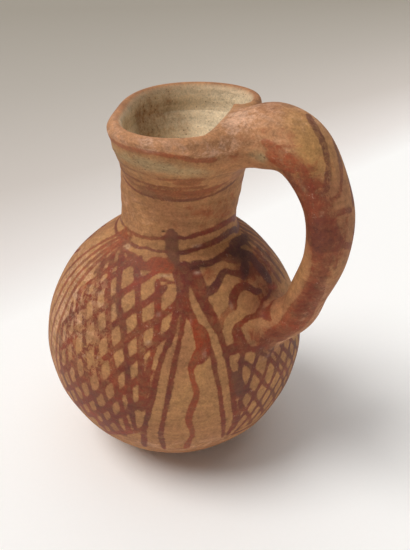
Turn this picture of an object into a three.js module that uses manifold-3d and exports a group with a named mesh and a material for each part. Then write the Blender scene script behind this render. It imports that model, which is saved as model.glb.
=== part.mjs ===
// A small hand-built pitcher of painted earthenware: a round body on a flat foot, a waisted neck,
// a rolled lip pinched to an oval mouth, and one thick loop handle from the lip to the shoulder.
// It is put together the way a potter does it, from clay pieces luted to each other.
// Millimetres and degrees. +Z is up, +X points to the handle, and the origin is the middle of the foot.
import * as THREE from 'three';
import { mergeVertices } from 'three/addons/utils/BufferGeometryUtils.js';
import Module from 'manifold-3d';

const wasm = await Module();
wasm.setup();

// Body
const BELLY_RADIUS = 51.8;
const BELLY_HEIGHT = 48;
const BOWL_RUNOUT = 6;
const LOWER_FULLNESS = 2;
const UPPER_REACH = 52;
const UPPER_FULLNESS = 1.8;
const WALL = 4.5;
const FOOT_RADIUS = 22;
const FOOT_ROUNDING = 1.5;
const FLOOR_THICKNESS = 7;

// Neck and lip, the heights measured up from where the neck stands on the shoulder
const NECK_RADIUS = 21.1;
const NECK_ROOT = 2.2;
const NECK_FLARE = 7.4;
const NECK_LENGTH = 35;
const LIP_HEIGHT = 10.8;
const LIP_OVERHANG = 2.1;
const LIP_THICKNESS = 5.3;
const MOUTH_OVAL = 6.8;
const MOUTH_OVAL_AT = 110;
const MOUTH_CORNERS = 1.7;
const MOUTH_CORNERS_AT = -51;
const NECK_LEAN = 3;
const LEAN_TOWARDS = 26;
const RIM_TILT = 2.2;
const RIM_TILT_TOWARDS = 112;
const RIM_RISE = 3;
const RIM_RISE_SPREAD = 22;

// Handle, where a thickness lies in the plane of the loop and a width across it
const HANDLE_REACH = 61.9;
const HANDLE_FOOT_HEIGHT = 66.6;
const HANDLE_CROWN_DROP = 4.3;
const HANDLE_ROOT_DROP = 10.2;
const ROOT_THICKNESS = 12.4;
const ROOT_WIDTH = 23;
const CROWN_THICKNESS = 20;
const CROWN_WIDTH = 22;
const GRIP_THICKNESS = 12.9;
const GRIP_WIDTH = 20.6;
const BEND_THICKNESS = 12.8;
const BEND_WIDTH = 16.2;
const HEEL_THICKNESS = 15.2;
const HEEL_WIDTH = 16.2;

// Clay worked round the two ends of the handle
const SADDLE_LENGTH = 12;
const SADDLE_SPREAD = 6.5;
const SADDLE_DEPTH = 4.4;
const LUTING_LENGTH = 7;
const LUTING_FLARE = 3;
const FEATHER = 0.8;

// Joints
const LAP = 3;
const SLIP = 0.3;

// Facets
const AROUND = 48;
const ARC_STEPS = 7;
const HANDLE_AROUND = 20;
const HANDLE_STEPS = 26;
const COLLAR_STEPS = 5;

const FIRED_CLAY = 0xb98a5c;
const LIP_CLAY = 0xa9623c;
const HANDLE_CLAY = 0xa8693f;
const LUTING_CLAY = 0x9c7a58;

const { degToRad, smoothstep, lerp } = THREE.MathUtils;

// Sizes that follow from the driving ones: the bowl's curve would close a run-out below the table
const lowerReach = BELLY_HEIGHT + BOWL_RUNOUT;
const floorJoint = FLOOR_THICKNESS - LAP + 0.5;
const neckFoot = heightOnShoulder(NECK_RADIUS + NECK_ROOT, 0);
const lipFoot = neckFoot + NECK_LENGTH - LAP / 2;
const rimHeight = neckFoot + NECK_LENGTH + LIP_HEIGHT - LAP / 2;
const lipBrow = rimHeight - LIP_HEIGHT * 0.37;

// Radius of the body's wall, inset from its outer face, at a height
function bodyRadius(height, inset) {
  const above = height > BELLY_HEIGHT;
  const reach = (above ? UPPER_REACH : lowerReach) - inset;
  const fullness = above ? UPPER_FULLNESS : LOWER_FULLNESS;
  const share = Math.min(Math.abs(height - BELLY_HEIGHT) / reach, 1);
  return (BELLY_RADIUS - inset) * (1 - share ** fullness) ** (1 / fullness);
}

// Height at which the shoulder, inset from its outer face, has a radius
function heightOnShoulder(radius, inset) {
  const share = radius / (BELLY_RADIUS - inset);
  return BELLY_HEIGHT + (UPPER_REACH - inset) * (1 - share ** UPPER_FULLNESS) ** (1 / UPPER_FULLNESS);
}

// Height at which the bowl, inset from its outer face, has a radius
function heightOnBowl(radius, inset) {
  const share = radius / (BELLY_RADIUS - inset);
  return BELLY_HEIGHT - (lowerReach - inset) * (1 - share ** LOWER_FULLNESS) ** (1 / LOWER_FULLNESS);
}

// Points on the body's wall from one height to another
function bodyArc(from, to, inset) {
  const points = [];
  for (let i = 0; i <= ARC_STEPS; i += 1) {
    const height = lerp(from, to, i / ARC_STEPS);
    points.push([bodyRadius(height, inset), height]);
  }
  return points;
}

// How far the neck has opened towards the mouth at a height, from 0 to 1
function opened(height) {
  return smoothstep(height, neckFoot + NECK_LENGTH * 0.38, lipBrow);
}

// Outer radius of the neck at a height, before the mouth is pinched
function neckRadius(height) {
  const share = (height - neckFoot) / NECK_LENGTH;
  const root = NECK_ROOT * Math.exp(-share * 12);
  return NECK_RADIUS + root + NECK_FLARE * Math.max(share, 0) ** 3;
}

// Radius of the lip where it stands out furthest, before the mouth is pinched
function lipBrowRadius() {
  return neckRadius(lipFoot) + LIP_OVERHANG;
}

// Where a point of the wheel-round shape ends up once the neck leans and the mouth is pinched
function handFormed(x, y, z) {
  const angle = Math.atan2(y, x);
  const opening = opened(z);
  const pinch = MOUTH_OVAL * Math.cos(2 * (angle - degToRad(MOUTH_OVAL_AT)))
    + MOUTH_CORNERS * Math.cos(3 * (angle - degToRad(MOUTH_CORNERS_AT)));
  const radius = Math.hypot(x, y);
  const grown = radius < 1 ? radius : radius + pinch * opening;
  const leanStart = neckFoot - NECK_LENGTH * 0.4;
  const lean = NECK_LEAN * Math.max(z - leanStart, 0) / (lipBrow - leanStart);
  const lift = smoothstep(z, lipFoot + 2 * LAP, rimHeight)
    * (RIM_TILT * Math.cos(angle - degToRad(RIM_TILT_TOWARDS))
    + RIM_RISE * Math.exp(-((angle / degToRad(RIM_RISE_SPREAD)) ** 2)));
  return [
    grown * Math.cos(angle) + lean * Math.cos(degToRad(LEAN_TOWARDS)),
    grown * Math.sin(angle) + lean * Math.sin(degToRad(LEAN_TOWARDS)),
    z + (radius < 1 ? 0 : lift),
  ];
}

// A closed profile of [radius, height] points turned round +Z and then formed by hand
function thrown(profile) {
  const points = profile.map(([radius, height]) => new THREE.Vector2(radius, height));
  const geometry = new THREE.LatheGeometry(points, AROUND).rotateX(Math.PI / 2);
  return moved(geometry, handFormed);
}

// A geometry with every point moved by a function of x, y and z
function moved(geometry, place) {
  const position = geometry.attributes.position;
  for (let i = 0; i < position.count; i += 1) {
    position.setXYZ(i, ...place(position.getX(i), position.getY(i), position.getZ(i)));
  }
  return geometry;
}

// A geometry as a solid that can be joined and cut
function solid(geometry) {
  geometry.deleteAttribute('normal');
  geometry.deleteAttribute('uv');
  const merged = mergeVertices(geometry, 1e-4);
  const corners = Array.from(merged.index.array);
  const kept = [];
  for (let i = 0; i < corners.length; i += 3) {
    const [a, b, c] = corners.slice(i, i + 3);
    if (a !== b && b !== c && c !== a) kept.push(a, b, c);
  }
  return new wasm.Manifold(new wasm.Mesh({
    numProp: 3,
    vertProperties: new Float32Array(merged.attributes.position.array),
    triVerts: new Uint32Array(kept),
  }));
}

// The foot and floor: a disc with a raised plug that the bowl sits round
function floorPad() {
  const plug = bodyRadius(FLOOR_THICKNESS, WALL);
  return thrown([
    [0, 0],
    [FOOT_RADIUS, 0],
    [lerp(FOOT_RADIUS, bodyRadius(FOOT_ROUNDING, 0), 0.62), FOOT_ROUNDING * 0.32],
    [bodyRadius(FOOT_ROUNDING, 0), FOOT_ROUNDING],
    [bodyRadius((FOOT_ROUNDING + floorJoint) / 2, 0), (FOOT_ROUNDING + floorJoint) / 2],
    [bodyRadius(floorJoint, 0), floorJoint],
    [plug, floorJoint],
    [plug, FLOOR_THICKNESS],
    [0, FLOOR_THICKNESS],
  ]);
}

// The lower half of the body, up to a half-lap at the belly
function lowerBowl() {
  const seat = bodyRadius(FLOOR_THICKNESS, WALL) + SLIP;
  const tongue = BELLY_RADIUS - WALL / 2 - SLIP / 2;
  return thrown([
    [seat, floorJoint],
    ...bodyArc(floorJoint, BELLY_HEIGHT - LAP, 0),
    [tongue, BELLY_HEIGHT - LAP],
    [tongue, BELLY_HEIGHT + LAP],
    ...bodyArc(BELLY_HEIGHT + LAP, heightOnBowl(seat, WALL), WALL),
    [seat, floorJoint],
  ]);
}

// The upper half of the body, from the belly's lap up to the hole that the neck stands in
function shoulderDome() {
  const skirt = BELLY_RADIUS - WALL / 2 + SLIP / 2;
  const hole = neckTongue() + SLIP;
  return thrown([
    [skirt, BELLY_HEIGHT - LAP],
    ...bodyArc(BELLY_HEIGHT - LAP, neckFoot, 0),
    [hole, neckFoot],
    ...bodyArc(heightOnShoulder(hole, WALL), BELLY_HEIGHT + LAP, WALL),
    [skirt, BELLY_HEIGHT + LAP],
    [skirt, BELLY_HEIGHT - LAP],
  ]);
}

// Outer radius of the ring under the neck that drops into the shoulder's hole
function neckTongue() {
  return NECK_RADIUS - WALL / 2;
}

// Radius of the neck's inner face, where the wall thickens upwards to meet the lip
function neckInside(height) {
  const thicker = LIP_THICKNESS * 0.25 * smoothstep(height, neckFoot + NECK_LENGTH * 0.5, lipFoot + LAP);
  return neckRadius(Math.max(height, neckFoot + NECK_ROOT * 1.4)) - WALL - thicker;
}

// Radius at which the neck and the lip part in their lap joint
function lipLap() {
  return neckRadius(lipFoot) - WALL / 3;
}

// The neck, with a ring below to stand in the shoulder and a ring above to carry the lip
function neckCollar() {
  const bottom = heightOnShoulder(neckTongue() + SLIP, WALL);
  const outer = [];
  const inner = [];
  for (let i = 0; i <= ARC_STEPS; i += 1) {
    const height = lerp(neckFoot, lipFoot, i / ARC_STEPS);
    outer.push([neckRadius(height), height]);
    const inside = lerp(lipFoot + LAP, bottom, i / ARC_STEPS);
    inner.push([neckInside(inside), inside]);
  }
  return thrown([
    [neckTongue(), bottom],
    [neckTongue(), neckFoot],
    ...outer,
    [lipLap(), lipFoot],
    [lipLap(), lipFoot + LAP],
    ...inner,
    [neckTongue(), bottom],
  ]);
}

// The lip: a roll of clay on top of the neck, thicker than the wall and rounded over
function lipProfile(slip) {
  const seat = neckRadius(lipFoot);
  const brow = lipBrowRadius();
  const mouth = brow - LIP_THICKNESS;
  return {
    outer: [
      [seat + slip, lipFoot],
      [lerp(seat, brow, 0.22) + slip, lerp(lipFoot, lipBrow, 0.35)],
      [lerp(seat, brow, 0.78) + slip, lerp(lipFoot, lipBrow, 0.75)],
      [brow + slip, lipBrow],
      [brow - LIP_THICKNESS * 0.12 + slip, lerp(lipBrow, rimHeight, 0.62)],
      [brow - LIP_THICKNESS * 0.42, rimHeight + slip],
    ],
    inner: [
      [mouth + LIP_THICKNESS * 0.2, rimHeight - LIP_THICKNESS * 0.12],
      [mouth + LIP_THICKNESS * 0.04, lerp(lipBrow, rimHeight, 0.5)],
      [mouth - LIP_THICKNESS * 0.06, lipBrow],
      [neckInside(lipFoot + LAP), lipFoot + LAP],
    ],
  };
}

function lipRoll() {
  const { outer, inner } = lipProfile(0);
  return thrown([
    [lipLap() + SLIP, lipFoot],
    ...outer,
    ...inner,
    [lipLap() + SLIP, lipFoot + LAP],
    [lipLap() + SLIP, lipFoot],
  ]);
}

// All that stands between the handle's root and the axis, larger by the slip between clay pieces
function neckEnvelope() {
  const { outer } = lipProfile(SLIP);
  const neck = [];
  for (let i = 0; i < ARC_STEPS; i += 1) {
    const height = lerp(neckFoot, lipFoot, i / ARC_STEPS);
    neck.push([neckRadius(height) + SLIP, height]);
  }
  const crest = outer[outer.length - 1][0];
  const above = rimHeight + ROOT_THICKNESS;
  return solid(thrown([[0, neckFoot], ...neck, ...outer, [crest, above], [0, above]]));
}

// The body's outer form, larger by the slip between clay pieces
function bodyEnvelope() {
  const lower = bodyArc(floorJoint, BELLY_HEIGHT, -SLIP);
  const upper = bodyArc(BELLY_HEIGHT, neckFoot, -SLIP).slice(1);
  return solid(thrown([[0, floorJoint], ...lower, ...upper, [0, neckFoot]]));
}

// Radius of the lip's outer edge on the side where the handle springs from it
function lipAtHandle() {
  const [x, , z] = handFormed(lipBrowRadius(), 0, rimHeight);
  return { x, z };
}

// Middle line of the handle, from inside the lip, over the crown and down into the shoulder
function handleLine() {
  const lip = lipAtHandle();
  const root = new THREE.Vector3(lip.x - LIP_THICKNESS * 1.2, 0, lip.z - HANDLE_ROOT_DROP);
  const crownHeight = lip.z - HANDLE_CROWN_DROP;
  const drop = crownHeight - HANDLE_FOOT_HEIGHT;
  const run = HANDLE_REACH - root.x;
  const inward = WALL * 0.4;
  const foot = new THREE.Vector3(
    bodyRadius(HANDLE_FOOT_HEIGHT, 0) - inward,
    0,
    HANDLE_FOOT_HEIGHT,
  );
  return new THREE.CatmullRomCurve3([
    new THREE.Vector3(root.x - run * 0.22, 0, root.z - run * 0.1),
    root,
    new THREE.Vector3(root.x + run * 0.42, 0, crownHeight - drop * 0.02),
    new THREE.Vector3(root.x + run * 0.71, 0, crownHeight - drop * 0.062),
    new THREE.Vector3(root.x + run * 0.95, 0, crownHeight - drop * 0.26),
    new THREE.Vector3(HANDLE_REACH, 0, crownHeight - drop * 0.516),
    new THREE.Vector3(HANDLE_REACH - run * 0.096, 0, crownHeight - drop * 0.722),
    new THREE.Vector3(lerp(foot.x, HANDLE_REACH, 0.54), 0, crownHeight - drop * 0.87),
    foot,
    new THREE.Vector3(foot.x - WALL, 0, foot.z - WALL * 0.7),
  ]);
}

const line = handleLine();

// Half thickness and half width of the handle at a share of its length
function handleHalves(share) {
  const stations = [
    [0, ROOT_THICKNESS, ROOT_WIDTH],
    [0.12, ROOT_THICKNESS, ROOT_WIDTH],
    [0.26, CROWN_THICKNESS, CROWN_WIDTH],
    [0.5, GRIP_THICKNESS, GRIP_WIDTH],
    [0.76, BEND_THICKNESS, BEND_WIDTH],
    [0.94, HEEL_THICKNESS, HEEL_WIDTH],
    [1, HEEL_THICKNESS, HEEL_WIDTH],
  ];
  const next = Math.max(stations.findIndex(([at]) => at >= share), 1);
  const [from, thickA, wideA] = stations[next - 1];
  const [to, thickB, wideB] = stations[next];
  const blend = smoothstep(share, from, to);
  return [lerp(thickA, thickB, blend) / 2, lerp(wideA, wideB, blend) / 2];
}

// A roll of clay along a stretch of the handle's line, with what is added to its halves along the stretch
function rolled(from, to, steps, extra) {
  const rod = new THREE.CylinderGeometry(1, 1, 1, HANDLE_AROUND, steps);
  return moved(rod, (x, y, z) => {
    const along = y + 0.5;
    const share = lerp(from, to, along);
    const point = line.getPointAt(share);
    const tangent = line.getTangentAt(share);
    const [thick, wide] = handleHalves(share);
    const [thicker, wider] = extra(along);
    return [
      point.x + x * (thick + thicker) * tangent.z,
      -z * (wide + wider),
      point.z - x * (thick + thicker) * tangent.x,
    ];
  });
}

// First share of the handle's length, on the way from one share to another, that passes a test
function firstShare(test, from, to) {
  const steps = 200;
  for (let i = 0; i <= steps; i += 1) {
    const share = lerp(from, to, i / steps);
    if (test(line.getPointAt(share))) return share;
  }
  return to;
}

const handleLength = line.getLength();
const rootShare = firstShare((point) => point.x > lipAtHandle().x, 0, 1);
const heelShare = firstShare((point) => point.x > bodyRadius(point.z, 0), 1, 0);

function handleRoll(neck, body) {
  return solid(rolled(0, 1, HANDLE_STEPS, () => [0, 0])).subtract(neck).subtract(body);
}

// Clay worked under and beside the handle's root, from the neck out along the handle
function handleSaddle(neck) {
  const end = rootShare + SADDLE_LENGTH / handleLength;
  const outside = solid(rolled(0, end, COLLAR_STEPS * 2, (along) => {
    const fade = smoothstep(along * end, rootShare * 0.5, end);
    return [lerp(SADDLE_DEPTH, FEATHER + SLIP, fade), lerp(SADDLE_SPREAD, FEATHER + SLIP, fade)];
  }));
  const handle = solid(rolled(0, 1, HANDLE_STEPS, () => [SLIP, SLIP]));
  const top = line.getPointAt(rootShare).z + ROOT_THICKNESS * 0.28;
  const height = ROOT_THICKNESS * 4;
  const lid = new THREE.BoxGeometry(HANDLE_REACH * 4, ROOT_WIDTH * 4, height);
  lid.translate(0, 0, top + height / 2);
  return outside.subtract(handle).subtract(neck).subtract(solid(lid));
}

// Clay worked all round the handle's foot, where it stands on the shoulder
function footLuting(body) {
  const start = heelShare - LUTING_LENGTH / handleLength;
  const outside = solid(rolled(start, 1, COLLAR_STEPS, (along) => {
    const fade = THREE.MathUtils.clamp((lerp(start, 1, along) - start) / (heelShare - start), 0, 1);
    const flare = lerp(FEATHER + SLIP, LUTING_FLARE, fade ** 2);
    return [flare, flare];
  }));
  const handle = solid(rolled(0, 1, HANDLE_STEPS, () => [SLIP, SLIP]));
  return outside.subtract(handle).subtract(body);
}

// A solid as a geometry that can be shown
function shown(form) {
  const { vertProperties, triVerts } = form.getMesh();
  const geometry = new THREE.BufferGeometry();
  geometry.setAttribute('position', new THREE.BufferAttribute(new Float32Array(vertProperties), 3));
  geometry.setIndex(new THREE.BufferAttribute(new Uint32Array(triVerts), 1));
  geometry.computeVertexNormals();
  return geometry;
}

const pitcher = new THREE.Group();

function addPiece(name, form, color) {
  const material = new THREE.MeshStandardMaterial({ color, roughness: 0.85, metalness: 0 });
  const mesh = new THREE.Mesh(shown(form), material);
  mesh.name = name;
  pitcher.add(mesh);
}

const neckSpace = neckEnvelope();
const bodySpace = bodyEnvelope();

addPiece('floor_pad', solid(floorPad()), FIRED_CLAY);
addPiece('lower_bowl', solid(lowerBowl()), FIRED_CLAY);
addPiece('shoulder_dome', solid(shoulderDome()), FIRED_CLAY);
addPiece('neck_collar', solid(neckCollar()), FIRED_CLAY);
addPiece('lip_roll', solid(lipRoll()), LIP_CLAY);
addPiece('handle_roll', handleRoll(neckSpace, bodySpace), HANDLE_CLAY);
addPiece('handle_saddle', handleSaddle(neckSpace), LUTING_CLAY);
addPiece('foot_luting', footLuting(bodySpace), LUTING_CLAY);

export default pitcher;
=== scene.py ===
"""A small hand-built pitcher of painted earthenware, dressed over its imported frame.

The pitcher is a round body on a flat foot, a waisted neck with a rolled lip pinched to an oval
mouth, and one thick loop handle. Shapes are worked out in millimetres and turned into metres when
a mesh is finished. Angles are measured round +Z from the handle, which points along +X.
"""

import logging
import math
from dataclasses import dataclass, field
from enum import Enum
from typing import Callable, Sequence

import bmesh
import bpy
import numpy as np
from mathutils import Matrix, Vector


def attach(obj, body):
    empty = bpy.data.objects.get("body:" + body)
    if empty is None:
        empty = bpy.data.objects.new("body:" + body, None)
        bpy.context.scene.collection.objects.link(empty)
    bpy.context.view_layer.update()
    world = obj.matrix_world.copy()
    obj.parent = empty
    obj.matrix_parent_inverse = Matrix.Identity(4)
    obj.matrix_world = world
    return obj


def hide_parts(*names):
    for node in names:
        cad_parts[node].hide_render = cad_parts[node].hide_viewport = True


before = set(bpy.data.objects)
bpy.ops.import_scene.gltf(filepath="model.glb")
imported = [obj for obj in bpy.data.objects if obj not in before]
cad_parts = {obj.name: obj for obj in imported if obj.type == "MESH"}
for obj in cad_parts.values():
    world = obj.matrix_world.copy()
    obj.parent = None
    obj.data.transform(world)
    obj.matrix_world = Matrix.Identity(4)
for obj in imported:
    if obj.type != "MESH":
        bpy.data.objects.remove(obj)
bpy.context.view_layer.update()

LOG = logging.getLogger("pitcher")
MM = 0.001
# How far apart two distances are compared to find their slope, in millimetres.
PROBE = 0.06
# The smallest length that anything is divided by.
TINY = 1e-6

Rgba = tuple[float, float, float, float]
# A colour in a material, written out or carried by a link.
Colour = bpy.types.NodeSocket | Rgba
Route = tuple[tuple[float, float], ...]


def smooth(value: np.ndarray, low: float, high: float) -> np.ndarray:
    """Go from 0 at low to 1 at high with a level start and end."""
    share = np.clip((value - low) / (high - low), 0.0, 1.0)
    return share * share * (3.0 - 2.0 * share)


def directions(steps: np.ndarray) -> np.ndarray:
    """Rows of coordinates brought to a length of 1."""
    return steps / np.maximum(np.linalg.norm(steps, axis=1), TINY)[:, None]


def blend(a: float, b: float, share: float) -> float:
    """Go from a to b by a share."""
    return a + (b - a) * share


def eased_union(a: np.ndarray, b: np.ndarray, reach: np.ndarray) -> np.ndarray:
    """Join two distance fields with a rounded inner corner.

    Args:
        a: Distance to one form.
        b: Distance to the other form.
        reach: How far from the corner the rounding starts.

    Returns:
        The distance to both forms together.
    """
    near = np.maximum(reach - np.abs(a - b), 0.0) / reach
    return np.minimum(a, b) - near**3 * reach / 6.0


def linear(code: str) -> Rgba:
    """Turn a written colour into the linear values that shaders use.

    Args:
        code: Six hex digits, red first.

    Returns:
        Red, green, blue and a full alpha.
    """
    values = []
    for start in (0, 2, 4):
        share = int(code[start : start + 2], 16) / 255.0
        values.append(share / 12.92 if share <= 0.04045 else ((share + 0.055) / 1.055) ** 2.4)
    return (*values, 1.0)


class Slot(Enum):
    """Names of the material slots."""

    BODY = "body_clay"
    LIP = "lip_clay"
    HANDLE = "handle_clay"
    LUTING = "luting_clay"


@dataclass(frozen=True)
class VesselForm:
    """The round form that was thrown and then leant and pinched by hand, in millimetres."""

    belly_radius: float = 51.8
    belly_height: float = 48.0
    lower_reach: float = 54.0
    lower_fullness: float = 2.0
    upper_reach: float = 52.0
    upper_fullness: float = 1.8
    wall: float = 4.5
    foot_radius: float = 22.0
    foot_rounding: float = 1.5
    floor: float = 7.0
    neck_radius: float = 21.1
    neck_root: float = 2.2
    root_fade: float = 12.0
    neck_flare: float = 7.4
    neck_length: float = 35.0
    lap: float = 3.0
    lip_height: float = 10.8
    lip_overhang: float = 2.1
    lip_thickness: float = 5.3
    mouth_oval: float = 6.8
    oval_at: float = 110.0
    corners: float = 1.7
    corners_at: float = -51.0
    lean: float = 3.0
    lean_to: float = 26.0
    tilt: float = 2.2
    tilt_to: float = 112.0
    rise: float = 3.0
    rise_spread: float = 22.0

    @property
    def pad_joint(self) -> float:
        """Height of the joint between the floor pad and the bowl."""
        return self.floor - self.lap + 0.5

    @property
    def neck_foot(self) -> float:
        """Height at which the neck stands on the shoulder."""
        return float(self.shoulder_height(self.neck_radius + self.neck_root, 0.0))

    @property
    def lip_foot(self) -> float:
        """Height at which the lip starts."""
        return self.neck_foot + self.neck_length - self.lap / 2.0

    @property
    def rim(self) -> float:
        """Height of the rim before it is tilted."""
        return self.lip_foot + self.lip_height

    @property
    def brow(self) -> float:
        """Height at which the lip stands out furthest."""
        return self.rim - self.lip_height * 0.37

    @property
    def brow_radius(self) -> float:
        """Radius at which the lip stands out furthest."""
        return float(self.neck_wall(self.lip_foot)) + self.lip_overhang

    def body_wall(self, height: np.ndarray, inset: float = 0.0) -> np.ndarray:
        """Radius of the body's wall at a height.

        Args:
            height: Heights above the table.
            inset: How far inside the outer face.

        Returns:
            The radii.
        """
        height = np.asarray(height, float)
        above = height > self.belly_height
        reach = np.where(above, self.upper_reach, self.lower_reach) - inset
        fullness = np.where(above, self.upper_fullness, self.lower_fullness)
        share = np.minimum(np.abs(height - self.belly_height) / reach, 1.0)
        return (self.belly_radius - inset) * (1.0 - share**fullness) ** (1.0 / fullness)

    def body_inside(self, height: float) -> float:
        """Inner radius of the body at a height."""
        return float(self.body_wall(height, self.wall))

    def off_belly(self, radius: float, inset: float, reach: float, fullness: float) -> float:
        """How far from the belly, up or down, the wall has a radius.

        Args:
            radius: The radius.
            inset: How far inside the outer face.
            reach: How far the wall reaches to that side of the belly.
            fullness: How full its curve is.

        Returns:
            The difference in height.
        """
        share = radius / (self.belly_radius - inset)
        return (reach - inset) * (1.0 - share**fullness) ** (1.0 / fullness)

    def shoulder_height(self, radius: float, inset: float) -> float:
        """Height at which the shoulder has a radius."""
        return self.belly_height + self.off_belly(radius, inset, self.upper_reach, self.upper_fullness)

    def bowl_height(self, radius: float, inset: float) -> float:
        """Height at which the bowl has a radius."""
        return self.belly_height - self.off_belly(radius, inset, self.lower_reach, self.lower_fullness)

    def neck_wall(self, height: np.ndarray) -> np.ndarray:
        """Outer radius of the neck before it is pinched.

        Args:
            height: Heights above the table.

        Returns:
            The radii.
        """
        share = (np.asarray(height, float) - self.neck_foot) / self.neck_length
        root = self.neck_root * np.exp(-share * self.root_fade)
        return self.neck_radius + root + self.neck_flare * np.maximum(share, 0.0) ** 3

    def neck_inside(self, height: float) -> float:
        """Inner radius of the neck before it is pinched.

        Args:
            height: Height above the table.

        Returns:
            The radius.
        """
        middle = self.neck_foot + self.neck_length * 0.5
        thicker = self.lip_thickness * 0.25 * float(smooth(height, middle, self.lip_foot + self.lap))
        level = max(height, self.neck_foot + self.neck_root * 1.4)
        return float(self.neck_wall(level)) - self.wall - thicker

    def wall_middle(self, height: np.ndarray) -> np.ndarray:
        """Radius in the middle of the wall before it is pinched.

        Args:
            height: Heights above the table.

        Returns:
            The radii.
        """
        crest = self.brow_radius - self.lip_thickness * 0.6
        neck = self.neck_wall(np.maximum(height, self.neck_foot)) - 2.0
        middle = np.where(height > self.lip_foot + 2.0, crest, neck)
        return np.where(height < self.neck_foot, self.body_wall(height, 2.0), middle)

    def formed(self, points: np.ndarray, marks: bool = True) -> np.ndarray:
        """Lean, pinch and tilt the wheel-round shape, and leave the marks of the hand in it.

        Args:
            points: Rows of x, y and z.
            marks: Whether the shallow unevenness of handwork is added.

        Returns:
            The moved points.
        """
        x, y, z = points.T
        angle = np.arctan2(y, x)
        radius = np.hypot(x, y)
        opening = smooth(z, self.neck_foot + self.neck_length * 0.38, self.brow)
        pinch = self.mouth_oval * np.cos(2.0 * (angle - math.radians(self.oval_at)))
        pinch += self.corners * np.cos(3.0 * (angle - math.radians(self.corners_at)))
        lean_start = self.neck_foot - self.neck_length * 0.4
        lean = self.lean * np.maximum(z - lean_start, 0.0) / (self.brow - lean_start)
        lift = self.tilt * np.cos(angle - math.radians(self.tilt_to))
        lift += self.rise * np.exp(-((angle / math.radians(self.rise_spread)) ** 2))
        lift *= smooth(z, self.lip_foot + 2.0 * self.lap, self.rim)
        off_axis = smooth(radius, 1.0, 12.0)
        grown = radius + pinch * opening * (radius >= 1.0)
        if marks:
            grown = grown + self.hand_marks(angle, z) * off_axis
        toward = math.radians(self.lean_to)
        return np.stack(
            [
                grown * np.cos(angle) + lean * math.cos(toward),
                grown * np.sin(angle) + lean * math.sin(toward),
                z + lift * (radius >= 1.0),
            ],
            axis=1,
        )

    def hand_marks(self, angle: np.ndarray, height: np.ndarray) -> np.ndarray:
        """Shallow hollows and swellings that the potter's fingers left in the wall.

        Args:
            angle: Angles round the axis, in radians.
            height: Heights above the table.

        Returns:
            How far the wall stands out there.
        """
        swell = 0.16 * np.sin(3.0 * angle + 0.055 * height + 1.1)
        swell += 0.12 * np.sin(5.0 * angle - 0.085 * height + 2.3)
        swell += 0.08 * np.sin(8.0 * angle + 0.13 * height)
        swell += 0.07 * np.sin(0.42 * height + 1.5 * np.sin(2.0 * angle))
        rings = 0.06 * np.sin(1.35 * height + 0.8 * np.sin(angle))
        rings *= smooth(height, self.neck_foot + 4.0, self.neck_foot + 9.0)
        settle = smooth(height, 1.0, 8.0)
        return (swell + rings) * settle * (1.0 - 0.5 * smooth(height, self.lip_foot, self.rim))

    def unformed(self, points: np.ndarray) -> np.ndarray:
        """Find where points of the finished form lay before the hand-forming.

        Args:
            points: Rows of x, y and z.

        Returns:
            The points as they were.
        """
        before = points.copy()
        for _ in range(5):
            before += points - self.formed(before)
        return before

    def lip_outline(self) -> tuple[list[tuple[float, float]], list[tuple[float, float]]]:
        """Rounded outline of the lip.

        Returns:
            The outer points from the neck up to the crest, and the inner ones from there down.
        """
        seat = float(self.neck_wall(self.lip_foot))
        brow = self.brow_radius
        thick = self.lip_thickness
        mouth = brow - thick
        foot = self.lip_foot
        low = self.neck_inside(foot + self.lap)
        knots = [
            (seat, foot),
            (blend(seat, brow, 0.28), blend(foot, self.brow, 0.35)),
            (blend(seat, brow, 0.78), blend(foot, self.brow, 0.72)),
            (brow, self.brow),
            (brow - thick * 0.06, blend(self.brow, self.rim, 0.45)),
            (brow - thick * 0.2, blend(self.brow, self.rim, 0.8)),
            (brow - thick * 0.44, self.rim),
            (mouth + thick * 0.28, self.rim - thick * 0.05),
            (mouth + thick * 0.12, self.rim - thick * 0.2),
            (mouth + thick * 0.03, blend(self.brow, self.rim, 0.5)),
            (mouth - thick * 0.06, self.brow),
            (blend(low, mouth - thick * 0.06, 0.5), blend(foot + self.lap, self.brow, 0.5)),
            (low, foot + self.lap),
        ]
        fine = curve_through(np.array(knots), 0.45)
        crest = int(np.argmax(fine[:, 1]))
        outer = [tuple(p) for p in fine[: crest + 1]]
        inner = [tuple(p) for p in fine[crest + 1 :]]
        return outer, inner

    def wall_outline(self) -> np.ndarray:
        """Outline of the whole wall in the plane of radius and height.

        Returns:
            Rows of radius and height, all round the wall.
        """
        outer = [(0.0, 0.0), (self.foot_radius, 0.0)]
        for height in np.linspace(self.foot_rounding, self.neck_foot, 40):
            outer.append((float(self.body_wall(height)), float(height)))
        for height in np.linspace(self.neck_foot, self.lip_foot, 24)[1:-1]:
            outer.append((float(self.neck_wall(height)), float(height)))
        lip_outer, lip_inner = self.lip_outline()
        inner = []
        for height in np.linspace(self.lip_foot + self.lap, self.neck_foot + 3.0, 20)[1:]:
            inner.append((self.neck_inside(float(height)), float(height)))
        hollow = self.shoulder_height(inner[-1][0], self.wall)
        for height in np.linspace(hollow, self.floor, 40):
            inner.append((float(self.body_wall(height, self.wall)), float(height)))
        inner.append((0.0, self.floor))
        return np.array(outer + lip_outer + lip_inner + inner)

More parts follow.
